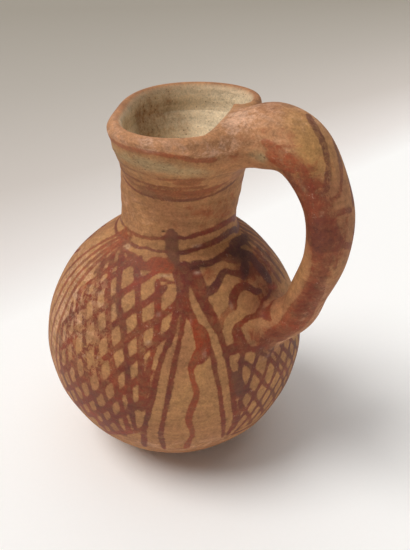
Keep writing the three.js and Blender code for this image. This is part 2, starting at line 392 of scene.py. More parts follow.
    def outside(self, degrees: np.ndarray, height: np.ndarray) -> np.ndarray:
        """Points on the outer face of the finished form.

        Args:
            degrees: Angles from the handle.
            height: Heights before the rim is tilted.

        Returns:
            Rows of x, y and z.
        """
        angle = np.radians(np.asarray(degrees, float))
        height = np.asarray(height, float)
        lip_outer = np.array(self.lip_outline()[0])
        lip = np.interp(height, lip_outer[:, 1], lip_outer[:, 0])
        radius = np.where(height < self.lip_foot, self.neck_wall(height), lip)
        radius = np.where(height < self.neck_foot, self.body_wall(height), radius)
        flat = np.stack([radius * np.cos(angle), radius * np.sin(angle), height], axis=1)
        return self.formed(flat)


def curve_through(knots: np.ndarray, step: float) -> np.ndarray:
    """Lay a smooth curve through points and cut it at even steps.

    Args:
        knots: Rows of coordinates.
        step: Distance between two cuts.

    Returns:
        Rows of coordinates along the curve, its two ends included.
    """
    knots = np.asarray(knots, float)
    padded = np.vstack([2 * knots[0] - knots[1], knots, 2 * knots[-1] - knots[-2]])
    parts = []
    share = np.linspace(0.0, 1.0, 12, endpoint=False)[:, None]
    for p0, p1, p2, p3 in zip(padded[:-3], padded[1:-2], padded[2:-1], padded[3:]):
        d0 = max(float(np.linalg.norm(p1 - p0)) ** 0.5, TINY)
        d1 = max(float(np.linalg.norm(p2 - p1)) ** 0.5, TINY)
        d2 = max(float(np.linalg.norm(p3 - p2)) ** 0.5, TINY)
        t1 = ((p1 - p0) / d0 - (p2 - p0) / (d0 + d1) + (p2 - p1) / d1) * d1
        t2 = ((p2 - p1) / d1 - (p3 - p1) / (d1 + d2) + (p3 - p2) / d2) * d1
        square = (3 * (p2 - p1) - 2 * t1 - t2) * share**2
        parts.append(p1 + t1 * share + square + (2 * (p1 - p2) + t1 + t2) * share**3)
    parts.append(knots[-1:])
    line = np.vstack(parts)
    along = np.concatenate([[0.0], np.cumsum(np.linalg.norm(np.diff(line, axis=0), axis=1))])
    count = max(int(round(along[-1] / step)), 1) + 1
    cuts = np.linspace(0.0, along[-1], count)
    return np.stack([np.interp(cuts, along, line[:, i]) for i in range(line.shape[1])], axis=1)


def outline_gap(radius: np.ndarray, height: np.ndarray, outline: np.ndarray) -> np.ndarray:
    """Signed distance to a closed outline, positive outside it.

    Args:
        radius: First coordinates of the points.
        height: Second coordinates of the points.
        outline: Rows of the outline's points.

    Returns:
        One distance for each point.
    """
    start = outline
    step = np.roll(outline, -1, axis=0) - outline
    square = np.maximum((step**2).sum(1), 1e-12)
    to_x = radius[:, None] - start[None, :, 0]
    to_z = height[:, None] - start[None, :, 1]
    share = np.clip((to_x * step[:, 0] + to_z * step[:, 1]) / square, 0.0, 1.0)
    off = np.hypot(to_x - share * step[:, 0], to_z - share * step[:, 1]).min(1)
    below = start[:, 1] <= height[:, None]
    next_below = np.roll(start[:, 1], -1) <= height[:, None]
    side = step[:, 0] * to_z - step[:, 1] * to_x
    turns = (below & ~next_below & (side > 0)).sum(1) - (~below & next_below & (side < 0)).sum(1)
    return np.where(turns != 0, -off, off)


@dataclass(frozen=True)
class HandleForm:
    """The thick roll of clay that was bent into the handle, in millimetres."""

    vessel: VesselForm
    reach: float = 61.9
    foot_height: float = 66.6
    crown_drop: float = 4.3
    root_drop: float = 10.2
    stations: tuple[tuple[float, float, float], ...] = (
        (0.0, 12.4, 23.0),
        (0.12, 12.4, 23.0),
        (0.26, 20.0, 22.0),
        (0.5, 12.9, 20.6),
        (0.76, 12.8, 16.2),
        (0.94, 15.2, 16.2),
        (1.0, 15.2, 16.2),
    )

    def lip(self) -> tuple[float, float]:
        """The lip's edge where the handle springs.

        Returns:
            Its distance from the axis and its height.
        """
        spot = np.array([[self.vessel.brow_radius, 0.0, self.vessel.rim]])
        edge = self.vessel.formed(spot, marks=False)[0]
        return float(edge[0]), float(edge[2])

    def line(self) -> np.ndarray:
        """Middle line of the handle from inside the lip to inside the shoulder.

        Returns:
            Rows of distance from the axis and height.
        """
        lip_x, lip_z = self.lip()
        thick = self.vessel.lip_thickness
        wall = self.vessel.wall
        root_x, root_z = lip_x - thick * 1.2, lip_z - self.root_drop
        crown = lip_z - self.crown_drop
        drop = crown - self.foot_height
        run = self.reach - root_x
        foot_x = float(self.vessel.body_wall(self.foot_height)) - wall * 0.4
        knots = [
            (root_x - run * 0.22, root_z - run * 0.1),
            (root_x, root_z),
            (root_x + run * 0.42, crown - drop * 0.02),
            (root_x + run * 0.71, crown - drop * 0.062),
            (root_x + run * 0.95, crown - drop * 0.26),
            (self.reach, crown - drop * 0.516),
            (self.reach - run * 0.096, crown - drop * 0.722),
            (blend(foot_x, self.reach, 0.54), crown - drop * 0.87),
            (foot_x, self.foot_height),
            (foot_x - wall, self.foot_height - wall * 0.7),
        ]
        return curve_through(np.array(knots), 0.3)

    def course(self) -> tuple[np.ndarray, np.ndarray]:
        """The middle line of the handle and its direction at each of its points."""
        line = self.line()
        return line, directions(np.gradient(line, axis=0))

    def halves(self, share: np.ndarray) -> tuple[np.ndarray, np.ndarray]:
        """How thick and how wide the roll is.

        Args:
            share: Shares of the handle's length.

        Returns:
            Half its thickness and half its width there.
        """
        share = np.clip(np.asarray(share, float), 0.0, 1.0)
        thick = np.full_like(share, self.stations[0][1])
        wide = np.full_like(share, self.stations[0][2])
        for (at, thick_a, wide_a), (to, thick_b, wide_b) in zip(self.stations, self.stations[1:]):
            inside = (share >= at) & (share <= to)
            part = smooth(share[inside], at, to)
            thick[inside] = thick_a + (thick_b - thick_a) * part
            wide[inside] = wide_a + (wide_b - wide_a) * part
        return thick / 2.0, wide / 2.0

    def skin(self, share: np.ndarray, turn: np.ndarray) -> np.ndarray:
        """Points on the roll's skin.

        Args:
            share: Shares of the handle's length.
            turn: Degrees round the roll, 0 on the outside of the loop and -90 on the -Y side.

        Returns:
            Rows of x, y and z.
        """
        line, slope = self.course()
        along = np.linspace(0.0, 1.0, len(line))
        x = np.interp(share, along, line[:, 0])
        z = np.interp(share, along, line[:, 1])
        tangent_x = np.interp(share, along, slope[:, 0])
        tangent_z = np.interp(share, along, slope[:, 1])
        thick, wide = self.halves(share)
        angle = np.radians(turn)
        uneven = self.hand_marks(share, angle)
        out = np.cos(angle) * (thick + uneven)
        return np.stack(
            [x - out * tangent_z, np.sin(angle) * (wide + uneven), z + out * tangent_x], axis=1
        )

    def hand_marks(self, share: np.ndarray, angle: np.ndarray) -> np.ndarray:
        """Unevenness of the rolled and squeezed clay, in millimetres."""
        swell = 0.2 * np.sin(12.0 * share + 2.0 * angle) + 0.1 * np.sin(27.0 * share - angle)
        return swell + 0.07 * np.sin(3.0 * angle + 22.0 * share)

    def gap(self, points: np.ndarray) -> tuple[np.ndarray, np.ndarray, np.ndarray]:
        """Distance to the roll.

        Args:
            points: Rows of x, y and z.

        Returns:
            The signed distance, the share of the length and the turn round the roll in degrees.
        """
        line, slope = self.course()
        far_x = points[:, None, 0] - line[None, :, 0]
        far_z = points[:, None, 2] - line[None, :, 1]
        near = (far_x**2 + far_z**2).argmin(1)
        tangent = slope[near]
        off = points[:, [0, 2]] - line[near]
        ahead = (off * tangent).sum(1)
        step = float(np.linalg.norm(line[1] - line[0]))
        share = np.clip((near + np.clip(ahead / step, -0.5, 0.5)) / (len(line) - 1), 0.0, 1.0)
        out = off[:, 1] * tangent[:, 0] - off[:, 0] * tangent[:, 1]
        side = points[:, 1]
        thick, wide = self.halves(share)
        angle = np.arctan2(side / wide, out / thick)
        uneven = self.hand_marks(share, angle)
        thick = thick + uneven
        wide = wide + uneven
        first = np.maximum(np.hypot(out / thick, side / wide), TINY)
        second = np.maximum(np.hypot(out / thick**2, side / wide**2), TINY)
        tube = first * (first - 1.0) / second
        lip_x = self.lip()[0]
        cap = lip_x - self.vessel.lip_thickness * 0.62 - points[:, 0]
        distance = np.where(share < 0.4, np.maximum(tube, cap), tube)
        return distance, share, np.degrees(angle)


@dataclass(frozen=True)
class Smear:
    """How the luting clay is smeared out round one end of the handle, in millimetres."""

    everywhere: float
    sideways: float
    above: float
    below: float
    first_share: float
    last_share: float


class Junction(Enum):
    """The two places where the handle is luted on, with their smears."""

    ROOT = Smear(7.5, 11.0, 2.5, 19.0, 0.02, 0.55)
    FOOT = Smear(3.6, 5.4, 0.0, 0.0, 0.99, 0.5)


@dataclass
class BlendedSkin:
    """The skin of the handle, run out smoothly over the vessel at both of its ends."""

    vessel: VesselForm
    handle: HandleForm
    around: int = 220
    step: float = 0.45
    farthest: float = 54.0
    stop: float = 0.95
    softening: int = 13
    evening: float = 0.14
    outline: np.ndarray = field(init=False)

    def __post_init__(self) -> None:
        """Keep the wall's outline, which every distance needs."""
        self.outline = self.vessel.wall_outline()

    def vessel_gap(self, points: np.ndarray) -> np.ndarray:
        """Signed distance to the vessel's wall."""
        before = self.vessel.unformed(points)
        return outline_gap(np.hypot(before[:, 0], before[:, 1]), before[:, 2], self.outline)

    def reach_of(self, junction: Junction, turn: np.ndarray) -> np.ndarray:
        """How far the smeared clay reaches at turns round the handle.

        Args:
            junction: Which end of the handle.
            turn: Degrees round the handle.

        Returns:
            The reach of the rounding in millimetres.
        """
        smear = junction.value
        side = np.abs(np.sin(np.radians(turn)))
        up = np.cos(np.radians(turn))
        reach = smear.everywhere + smear.sideways * side**2
        return reach + smear.above * np.maximum(up, 0.0) + smear.below * np.maximum(-up, 0.0)

    def distances(self, points: np.ndarray, junction: Junction) -> tuple[np.ndarray, ...]:
        """Distance to vessel and handle together, and to each alone.

        Args:
            points: Rows of x, y and z.
            junction: Which end of the handle.

        Returns:
            The joined, the vessel's and the handle's distance.
        """
        wall = self.vessel_gap(points)
        roll, _, turn = self.handle.gap(points)
        return eased_union(wall, roll, self.reach_of(junction, turn)), wall, roll

    def slopes(self, points: np.ndarray, junction: Junction) -> list[np.ndarray]:
        """Directions in which the three distances grow.

        Args:
            points: Rows of x, y and z.
            junction: Which end of the handle.

        Returns:
            Directions for the joined, the vessel's and the handle's distance.
        """
        rises = []
        for axis in range(3):
            ahead = points.copy()
            back = points.copy()
            ahead[:, axis] += PROBE
            back[:, axis] -= PROBE
            high = self.distances(ahead, junction)
            low = self.distances(back, junction)
            rises.append([(a - b) / (2.0 * PROBE) for a, b in zip(high, low)])
        return [directions(np.stack(rise, axis=1)) for rise in zip(*rises)]

    def into_wall(self, points: np.ndarray, depth: float) -> np.ndarray:
        """Move points to a depth under the vessel's face.

        Args:
            points: Rows of x, y and z.
            depth: The depth in millimetres.

        Returns:
            The moved points.
        """
        for _ in range(4):
            gap = self.vessel_gap(points)
            ahead = [self.vessel_gap(points + way * PROBE) for way in np.eye(3)]
            rise = np.stack([(further - gap) / PROBE for further in ahead], axis=1)
            points = points - (gap + depth)[:, None] * directions(rise)
        return points

    def run_out(self, junction: Junction) -> np.ndarray:
        """Walk from the handle onto the vessel along the joined skin, all round the handle.

        Args:
            junction: Which end of the handle.

        Returns:
            Points by row along the walk and by column round the handle, in millimetres.
        """
        turns = np.linspace(-180.0, 180.0, self.around, endpoint=False)
        reach = self.reach_of(junction, turns)
        shares = np.linspace(junction.value.first_share, junction.value.last_share, 160)
        start = np.full(self.around, shares[-1])
        found = np.zeros(self.around, bool)
        for share in shares[::-1]:
            skin = self.handle.skin(np.full(self.around, share), turns)
            near = self.vessel_gap(skin) < np.maximum(reach * 0.5 + 2.0, reach * 0.85)
            start = np.where(near & ~found, share, start)
            found |= near
        kernel = np.hanning(2 * self.softening + 1)
        kernel /= kernel.sum()
        wrapped = np.concatenate([start[-self.softening :], start, start[: self.softening]])
        start = np.convolve(wrapped, kernel, mode="valid")
        spots = self.handle.skin(start, turns)
        walk = [spots]
        going = np.ones(self.around, bool)
        _, wall, roll = self.distances(spots, junction)
        for _ in range(int(self.farthest / self.step)):
            joined, wall_way, roll_way = self.slopes(spots, junction)
            onto = smooth(roll - wall, -reach.mean(), reach.mean())[:, None]
            way = roll_way * onto - wall_way * (1.0 - onto)
            way -= (way * joined).sum(1)[:, None] * joined
            spots = self.evened(spots + directions(way) * self.step * going[:, None])
            for _ in range(3):
                spots -= self.distances(spots, junction)[0][:, None] * joined
            _, wall, roll = self.distances(spots, junction)
            going = (roll - wall) < self.reach_of(junction, self.handle.gap(spots)[2]) * self.stop
            walk.append(spots)
            if not going.any():
                break
        return np.array(walk)

    def evened(self, ring: np.ndarray) -> np.ndarray:
        """Spread the points of a closed ring more evenly along it.

        Args:
            ring: The points in millimetres.

        Returns:
            The same ring with its points nearer to equal distances.
        """
        closed = np.concatenate([ring, ring[:1]])
        steps = np.linalg.norm(np.diff(closed, axis=0), axis=1)
        along = np.concatenate([[0.0], np.cumsum(steps)])
        even = np.linspace(0.0, along[-1], len(closed))
        wanted = (along + (even - along) * self.evening)[:-1]
        return np.stack([np.interp(wanted, along, closed[:, i]) for i in range(3)], axis=1)


class Number:
    """A number on its way through a material; ordinary arithmetic on it adds Math nodes."""

    def __init__(self, recipe: "Recipe", socket: bpy.types.NodeSocket) -> None:
        """Keep the recipe and the socket that carries the number."""
        self.recipe = recipe
        self.socket = socket

    def _math(self, operation: str, *terms: "Number | float") -> "Number":
        """Add a Math node.

        Args:
            operation: The node's operation.
            terms: What goes into its sockets.

        Returns:
            The node's result.
        """
        inputs = {i: term for i, term in enumerate(terms)}
        node = self.recipe.node("ShaderNodeMath", {"operation": operation}, inputs)
        return Number(self.recipe, node.outputs[0])

    def __add__(self, other: "Number | float") -> "Number":
        """Add."""
        return self._math("ADD", self, other)

    def __radd__(self, other: float) -> "Number":
        """Add to a plain number."""
        return self._math("ADD", other, self)

    def __sub__(self, other: "Number | float") -> "Number":
        """Subtract."""
        return self._math("SUBTRACT", self, other)

    def __rsub__(self, other: float) -> "Number":
        """Subtract from a plain number."""
        return self._math("SUBTRACT", other, self)

    def __mul__(self, other: "Number | float") -> "Number":
        """Multiply."""
        return self._math("MULTIPLY", self, other)

    def __rmul__(self, other: float) -> "Number":
        """Multiply a plain number."""
        return self._math("MULTIPLY", other, self)

    def __truediv__(self, other: "Number | float") -> "Number":
        """Divide."""
        return self._math("DIVIDE", self, other)

    def most(self, other: "Number | float") -> "Number":
        """The larger of two numbers."""
        return self._math("MAXIMUM", self, other)

    def step(self, low: float, high: float) -> "Number":
        """Go smoothly from 0 to 1.

        Args:
            low: Where the result is 0; it may be the larger of the two.
            high: Where the result is 1.

        Returns:
            The node's result.
        """
        settings = {"interpolation_type": "SMOOTHSTEP"}
        values = {"Value": self, "From Min": min(low, high), "From Max": max(low, high)}
        if low > high:
            values.update({"To Min": 1.0, "To Max": 0.0})
        node = self.recipe.node("ShaderNodeMapRange", settings, values)
        return Number(self.recipe, node.outputs["Result"])


class Recipe:
    """The nodes of one material, built up step by step."""

    def __init__(self, name: str) -> None:
        """Start a material without nodes.

        Args:
            name: The material's name.
        """
        self.material = bpy.data.materials.new(name)
        self.material.use_nodes = True
        self.tree = self.material.node_tree
        self.tree.nodes.clear()
        self.place = self.node("ShaderNodeTexCoord").outputs["Object"]

    def node(
        self, kind: str, settings: dict | None = None, inputs: dict | None = None
    ) -> bpy.types.Node:
        """Add a node.

        Args:
            kind: The node's type.
            settings: Its properties, set first; stops are those of a colour ramp.
            inputs: Values, numbers or links by the name or index of its sockets.

        Returns:
            The node.
        """
        node = self.tree.nodes.new(kind)
        for name, value in (settings or {}).items():
            if name == "stops":
                ramp = node.color_ramp.elements
                while len(ramp) < len(value):
                    ramp.new(1.0)
                for element, (at, colour) in zip(ramp, value):
                    element.position = at
                    element.color = colour
            else:
                setattr(node, name, value)
        for name, value in (inputs or {}).items():
            socket = node.inputs[name]
            if isinstance(value, Number):
                self.tree.links.new(value.socket, socket)
            elif isinstance(value, bpy.types.NodeSocket):
                self.tree.links.new(value, socket)
            else:
                socket.default_value = value
        return node

    def reading(self, name: str) -> Number:
        """The piece's own number of that name."""
        node = self.node("ShaderNodeAttribute", {"attribute_name": name})
        return Number(self, node.outputs["Fac"])

    def stretched(self, scale: tuple[float, float, float]) -> bpy.types.NodeSocket:
        """Object coordinates scaled by different amounts along the axes."""
        node = self.node("ShaderNodeMapping", None, {"Vector": self.place, "Scale": scale})
        return node.outputs[0]

    def noise(
        self,
        size: float,
        detail: float = 3.0,
        roughness: float = 0.55,
        distortion: float = 0.0,
        place: bpy.types.NodeSocket | None = None,
    ) -> Number:
        """Cloudy noise.

        Args:
            size: Size of its larger patches in millimetres.
            detail: How many finer layers it has.
            roughness: How strong the finer layers are.
            distortion: How much it is twisted.
            place: Coordinates other than the object's own.

        Returns:
            A number round 0.5.
        """
        inputs = {
            "Vector": place or self.place,
            "Scale": 1000.0 / size,
            "Detail": detail,
            "Roughness": roughness,
            "Distortion": distortion,
        }
        return Number(self, self.node("ShaderNodeTexNoise", None, inputs).outputs[0])

    def specks(self, size: float, fill: float) -> Number:
        """Small grains, 1 at the middle of each.

        Args:
            size: Distance between grains in millimetres.
            fill: How large a grain is against that distance.

        Returns:
            A number from 0 to 1.
        """
        inputs = {"Vector": self.place, "Scale": 1000.0 / size, "Randomness": 1.0}
        node = self.node("ShaderNodeTexVoronoi", {"feature": "F1"}, inputs)
        return Number(self, node.outputs["Distance"]).step(fill, fill * 0.45)

    def mix(
        self, share: "Number | float", first: Colour, second: Colour, kind: str = "MIX"
    ) -> bpy.types.NodeSocket:
        """Mix two colours.

        Args:
            share: How much of the second colour there is.
            first: The first colour.
            second: The second colour.
            kind: The way of mixing.

        Returns:
            The mixed colour.
        """
        settings = {"data_type": "RGBA", "blend_type": kind}
        node = self.node("ShaderNodeMix", settings, {0: share, 6: first, 7: second})
        return node.outputs[2]

    def bump(self, height: Number, depth: float, strength: float = 1.0) -> bpy.types.NodeSocket:
        """Turn a height from 0 to 1 into a normal.

        Args:
            height: The height.
            depth: How deep 1 is, in millimetres.
            strength: How much of it is used.

        Returns:
            The normal.
        """
        inputs = {"Height": height, "Distance": depth * MM, "Strength": strength}
        return self.node("ShaderNodeBump", None, inputs).outputs["Normal"]

    def finish(
        self, colour: Colour, roughness: Number, normal: bpy.types.NodeSocket, constants: dict
    ) -> bpy.types.Material:
        """Close the material with its shader.

        Args:
            colour: Base colour.
            roughness: Roughness.
            normal: Normal.
            constants: Plain values of other shader sockets.

        Returns:
            The material.
        """
        inputs = {"Base Color": colour, "Roughness": roughness, "Normal": normal}
        inputs.update(constants)
        shader = self.node("ShaderNodeBsdfPrincipled", None, inputs)
        output = self.node("ShaderNodeOutputMaterial")
        self.tree.links.new(shader.outputs[0], output.inputs["Surface"])
        return self.material


@dataclass(frozen=True)
class PaintedWare:
    """Buff earthenware with iron-red brushwork, worn, spotted and partly crusted with lime, with painted
    shade, painted highlights and glints in its colour.
    """

    buff: str = "a6754e"
    tan: str = "9a6646"
    ochre: str = "a87b4a"
    # Pale rosy clay, also used for painted light.
    rosy: str = "c4987a"
    orange_paint: str = "8d381c"
    red_paint: str = "71301e"
    plum_paint: str = "592e27"
    rubbed_paint: str = "84462c"
    orange_slip: str = "b27e56"
    # Dark brown for the painted shade and for the dark grit.
    soot: str = "2e1712"
    crust: str = "9c8b68"
    inner_clay: str = "dec8a6"
    # Brown of the inner stain and of the painted shade inside.
    inner_stain_and_shade: str = "805a3a"
    # Light colour of chips, scratches and painted glints.
    fleck_and_glint: str = "bc9e86"

    def make(self, name: str) -> bpy.types.Material:
        """Make the material.

        Args:
            name: The material's name.

        Returns:
            The material.
        """
        recipe = Recipe(name)
        cloud = recipe.noise(30.0, 3.0, 0.5)
        patch = recipe.noise(9.0, 4.0, 0.6, 0.3)
        grain = recipe.noise(2.0, 5.0, 0.68)
        fine = recipe.noise(0.7, 3.0, 0.7)
        wheel = recipe.noise(7.0, 4.0, 0.6, 0.0, recipe.stretched((0.35, 0.35, 3.2)))
        ware = recipe.mix(cloud.step(0.38, 0.62), linear(self.buff), linear(self.tan))
        golden = recipe.reading("ochre") * (patch * 0.7 + 0.65) + patch.step(0.45, 0.72) * 0.2
        ware = recipe.mix(golden.step(0.0, 1.1), ware, linear(self.ochre))
        mottled = recipe.noise(3.6, 5.0, 0.72, 0.6, recipe.stretched((0.5, 1.0, 1.0)))
        slip = recipe.reading("slip") * (0.3 + mottled.step(0.3, 0.62) * 0.85)
        ware = recipe.mix(slip.step(0.08, 1.0), ware, linear(self.orange_slip))
        pale = mottled.step(0.6, 0.36) * 0.7 + (fine - 0.5) * 1.2 + 0.25
        # Pale rosy clay, partly painted light: patches that lighten the lit left side, and a highlight
        # on the lower part of the handle.
        rosy = (recipe.reading("rosy") + recipe.reading("slip") * 0.4) * pale
        ware = recipe.mix(rosy.step(0.03, 0.9), ware, linear(self.rosy))

        ragged = (recipe.noise(3.0, 4.0, 0.65) - 0.5) * 1.3 + (grain - 0.5) * 1.0
        covered = (recipe.reading("paint_edge") + ragged).step(0.34, -0.34)
        worn = recipe.noise(4.5, 5.0, 0.7, 0.4).step(0.28, 0.5) * 0.3 + 0.7
        thin = grain.step(0.25, 0.6) * 0.35 + 0.65
        rubbed_off = recipe.reading("wear") * recipe.noise(2.2, 5.0, 0.75, 0.6).step(0.46, 0.56)
        brushed = covered * recipe.reading("paint_load") * worn * thin * (1.0 - rubbed_off)
        tone = recipe.reading("paint_tone") + (recipe.noise(11.0, 3.0) - 0.5) * 1.3
        paint = recipe.mix(tone.step(-0.1, 0.45), linear(self.orange_paint), linear(self.red_paint))
        paint = recipe.mix(tone.step(0.45, 1.0), paint, linear(self.plum_paint))
        rubbed = recipe.reading("rub") + (mottled - 0.5) * 1.8
        rubbed = rubbed + (patch - 0.5) * 0.8 + (grain - 0.5) * 0.8
        rubbed = rubbed.step(0.2, 0.85) * 0.85
        browner = cloud.step(0.42, 0.6)
        rubbed_tone = recipe.mix(browner, linear(self.rubbed_paint), linear(self.red_paint))
        painted = recipe.mix(rubbed, ware, rubbed_tone)
        painted = recipe.mix(brushed, painted, paint)

        # Painted shade in the crease at the neck's foot and under the handle, and a few dark specks.
        painted_shade_patches = recipe.reading("soot") * (patch.step(0.15, 0.75) * 0.6 + 0.55)
        painted = recipe.mix(painted_shade_patches.step(0.02, 1.05), painted, linear(self.soot))
        lime = recipe.reading("crust") + (recipe.noise(5.0, 5.0, 0.7) - 0.5) * 1.0
        lime_cover = lime.step(0.25, 0.95) * 0.72
        painted = recipe.mix(lime_cover, painted, linear(self.crust))

        inside = recipe.reading("inside")
        blotch = recipe.noise(14.0, 4.0, 0.6).step(0.45, 0.75) * 0.3
        # Brown stain and painted shade on the inner wall of the mouth.
        stain = blotch + recipe.reading("stain") * (patch * 0.8 + 0.6) + (grain - 0.5) * 1.3
        inner = recipe.mix(stain.step(0.05, 1.0), linear(self.inner_clay), linear(self.inner_stain_and_shade))
        colour = recipe.mix(inside, painted, inner)

        gritty = (inside * 0.4 + lime_cover * 0.8 + 0.25).step(0.0, 1.0)
        dark_grit = recipe.specks(1.5, 0.27) * grain.step(0.46, 0.58) * gritty
        colour = recipe.mix(dark_grit * 0.7, colour, linear(self.soot))
        # Light flecks: scratches and chips, partly painted glints on the paint and the painted highlight
        # under the handle's foot.
        scratch_and_glint = recipe.noise(1.1, 2.0, 0.5, 1.2).step(0.62, 0.72) * patch.step(0.45, 0.6)
        flecks_and_glints = (scratch_and_glint * (covered * 0.35 + 0.15)).most(recipe.reading("chip") * grain.step(0.3, 0.55))
        colour = recipe.mix(flecks_and_glints * 0.6, colour, linear(self.fleck_and_glint))
        shade = (grain - 0.5) * 1.6 + (fine - 0.5) * 1.2
        shade = shade + (wheel - 0.5) * 1.0 + (patch - 0.5) * 0.7 + 0.5
        mottle = recipe.mix(shade, (0.6, 0.6, 0.6, 1.0), (1.54, 1.54, 1.54, 1.0))
        colour = recipe.mix(0.85, colour, mottle, "MULTIPLY")

        roughness = 0.76 - brushed * 0.18 + lime_cover * 0.12 + inside * 0.12 + (fine - 0.5) * 0.25
        relief = grain * 0.5 + fine * 0.25 + patch * 0.8 + wheel * 0.6 - dark_grit * 0.8
        relief = relief + lime_cover * 0.5 + brushed * 0.12 + inside * grain * 1.4
        normal = recipe.bump(relief, 0.34, 0.85)
        return recipe.finish(colour, roughness, normal, {"Specular IOR Level": 0.26})


@dataclass(frozen=True)
class SheetPaper:
    """The pale sheet that the pitcher stands on, greyer towards the far left; the greys are painted
    shade.
    """

    # Painted shade: the sheet's colour turns greyer farther back and to the left.
    painted_shade_greys: tuple[tuple[float, str], ...] = (
        (0.29, "fefcf9"),
        (0.385, "ebe4df"),
        (0.52, "cfc6be"),
        (0.7, "b8b0a6"),
        (0.88, "a39b8f"),
    )
    shade_direction: tuple[float, float, float] = (-1.41, 0.14, 0.0)
    half_shade_distance: float = 0.4

    def make(self, name: str) -> bpy.types.Material:
        """Make the material.

        Args:
            name: The material's name.

        Returns:
            The material.
        """
        recipe = Recipe(name)
        inputs = {0: recipe.place, 1: self.shade_direction}
        along = recipe.node("ShaderNodeVectorMath", {"operation": "DOT_PRODUCT"}, inputs)
        away = Number(recipe, along.outputs["Value"]).most(0.0)
        share = away / (away + self.half_shade_distance)
        stops = tuple((at, linear(code)) for at, code in self.painted_shade_greys)
        sheet = recipe.node("ShaderNodeValToRGB", {"stops": stops}, {0: share}).outputs[0]
        fibre = recipe.noise(1.6, 3.0)
        tint = recipe.mix(fibre, (0.975, 0.975, 0.975, 1.0), (1.0, 1.0, 1.0, 1.0))
        colour = recipe.mix(1.0, sheet, tint, "MULTIPLY")
        normal = recipe.bump(fibre, 0.02, 0.3)
        return recipe.finish(colour, 0.86 + fibre * 0.08, normal, {"Specular IOR Level": 0.1})


@dataclass(frozen=True)
class Stroke:
    """One stroke of the brush, by angle from the handle and height in millimetres."""

    route: Route
    width: float = 2.1
    tone: float = 0.35
    load: float = 1.0

    def turned(self, degrees: float) -> "Stroke":
        """The same stroke elsewhere round the body."""
        route = tuple((angle + degrees, height) for angle, height in self.route)
        return Stroke(route, self.width, self.tone, self.load)


@dataclass
class Brushwork:
    """All the strokes on one part of the pitcher, ready to be measured from its surface."""

    place: Callable[[np.ndarray, np.ndarray], np.ndarray]
    strokes: list[Stroke] = field(default_factory=list)
    pooling: float = 0.32
    margin: float = 3.0
    sway: float = 0.14
    sway_length: float = 4.1
    tip: tuple[float, float] = (-0.6, 1.6)
    tip_width: float = 0.6
    faint: float = 1e-4
    batch: int = 6000

    def add(self, *strokes: Stroke) -> None:
        """Add strokes."""
        self.strokes.extend(strokes)

    def measure(self, points: np.ndarray) -> dict[str, np.ndarray]:
        """Measure how far each point of a surface is from the edge of the nearest stroke.

        Args:
            points: Rows of x, y and z in millimetres.

        Returns:
            The distance in millimetres, negative under paint, with the stroke's tone and load.
        """
        cover = np.full(len(points), self.faint)
        tone = np.full(len(points), self.faint * 0.35)
        load = np.full(len(points), self.faint)
        for number, stroke in enumerate(self.strokes):
            route = curve_through(np.array(stroke.route, float), 0.8)
            spots = self.place(route[:, 0], route[:, 1])
            low = spots.min(0) - stroke.width - self.margin
            high = spots.max(0) + stroke.width + self.margin
            near = np.nonzero(((points > low) & (points < high)).all(1))[0]
            if not len(near):
                continue
            spacing = np.linalg.norm(np.diff(spots, axis=0), axis=1)
            along = np.concatenate([[0.0], np.cumsum(spacing)])
            pressure = 1.0 + self.sway * np.sin(along / self.sway_length + number * 1.7)
            ends = smooth(np.minimum(along, along[-1] - along), *self.tip)
            halves = stroke.width / 2.0 * pressure * blend(self.tip_width, 1.0, ends)
            for part in np.array_split(near, max(len(near) // self.batch, 1)):
                spot = points[part]
                step = spots[1:] - spots[:-1]
                square = np.maximum((step**2).sum(1), 1e-9)
                to = spot[:, None, :] - spots[None, :-1, :]
                share = np.clip((to * step).sum(2) / square, 0.0, 1.0)
                off = np.linalg.norm(to - share[..., None] * step, axis=2)
                off -= halves[:-1] + share * (halves[1:] - halves[:-1])
                weight = np.exp(-np.minimum(off.min(1), 6.0) / self.pooling)
                cover[part] += weight
                tone[part] += weight * stroke.tone
                load[part] += weight * stroke.load
        edge = -self.pooling * np.log(cover)
        return {"paint_edge": edge, "paint_tone": tone / cover, "paint_load": load / cover}


@dataclass(frozen=True)
class Blot:
    """A soft patch, by angle and height, with its half sizes in millimetres and its strength."""

    angle: float
    height: float
    along: float
    up: float
    strength: float = 1.0


def blots_at(points: np.ndarray, form: VesselForm, blots: Sequence[Blot]) -> np.ndarray:
    """How strong soft patches are at points of a surface.

    Args:
        points: Rows of x, y and z in millimetres.
        form: The vessel that they lie on.
        blots: The patches.

    Returns:
        A number from 0 to 1 for each point.
    """
    total = np.zeros(len(points))
    for blot in blots:
        centre = form.outside(np.array([blot.angle]), np.array([blot.height]))[0]
        reach = max(blot.along, blot.up) * 2.6
        near = np.nonzero((np.abs(points - centre) < reach).all(1))[0]
        if not len(near):
            continue
        off = points[near] - centre
        ahead = np.array([-centre[1], centre[0], 0.0])
        ahead /= max(float(np.linalg.norm(ahead)), TINY)
        side = off @ ahead
        rest = np.linalg.norm(off - side[:, None] * ahead, axis=1)
        total[near] += blot.strength * np.exp(-((side / blot.along) ** 2) - (rest / blot.up) ** 2)
    return np.clip(total, 0.0, 1.0)


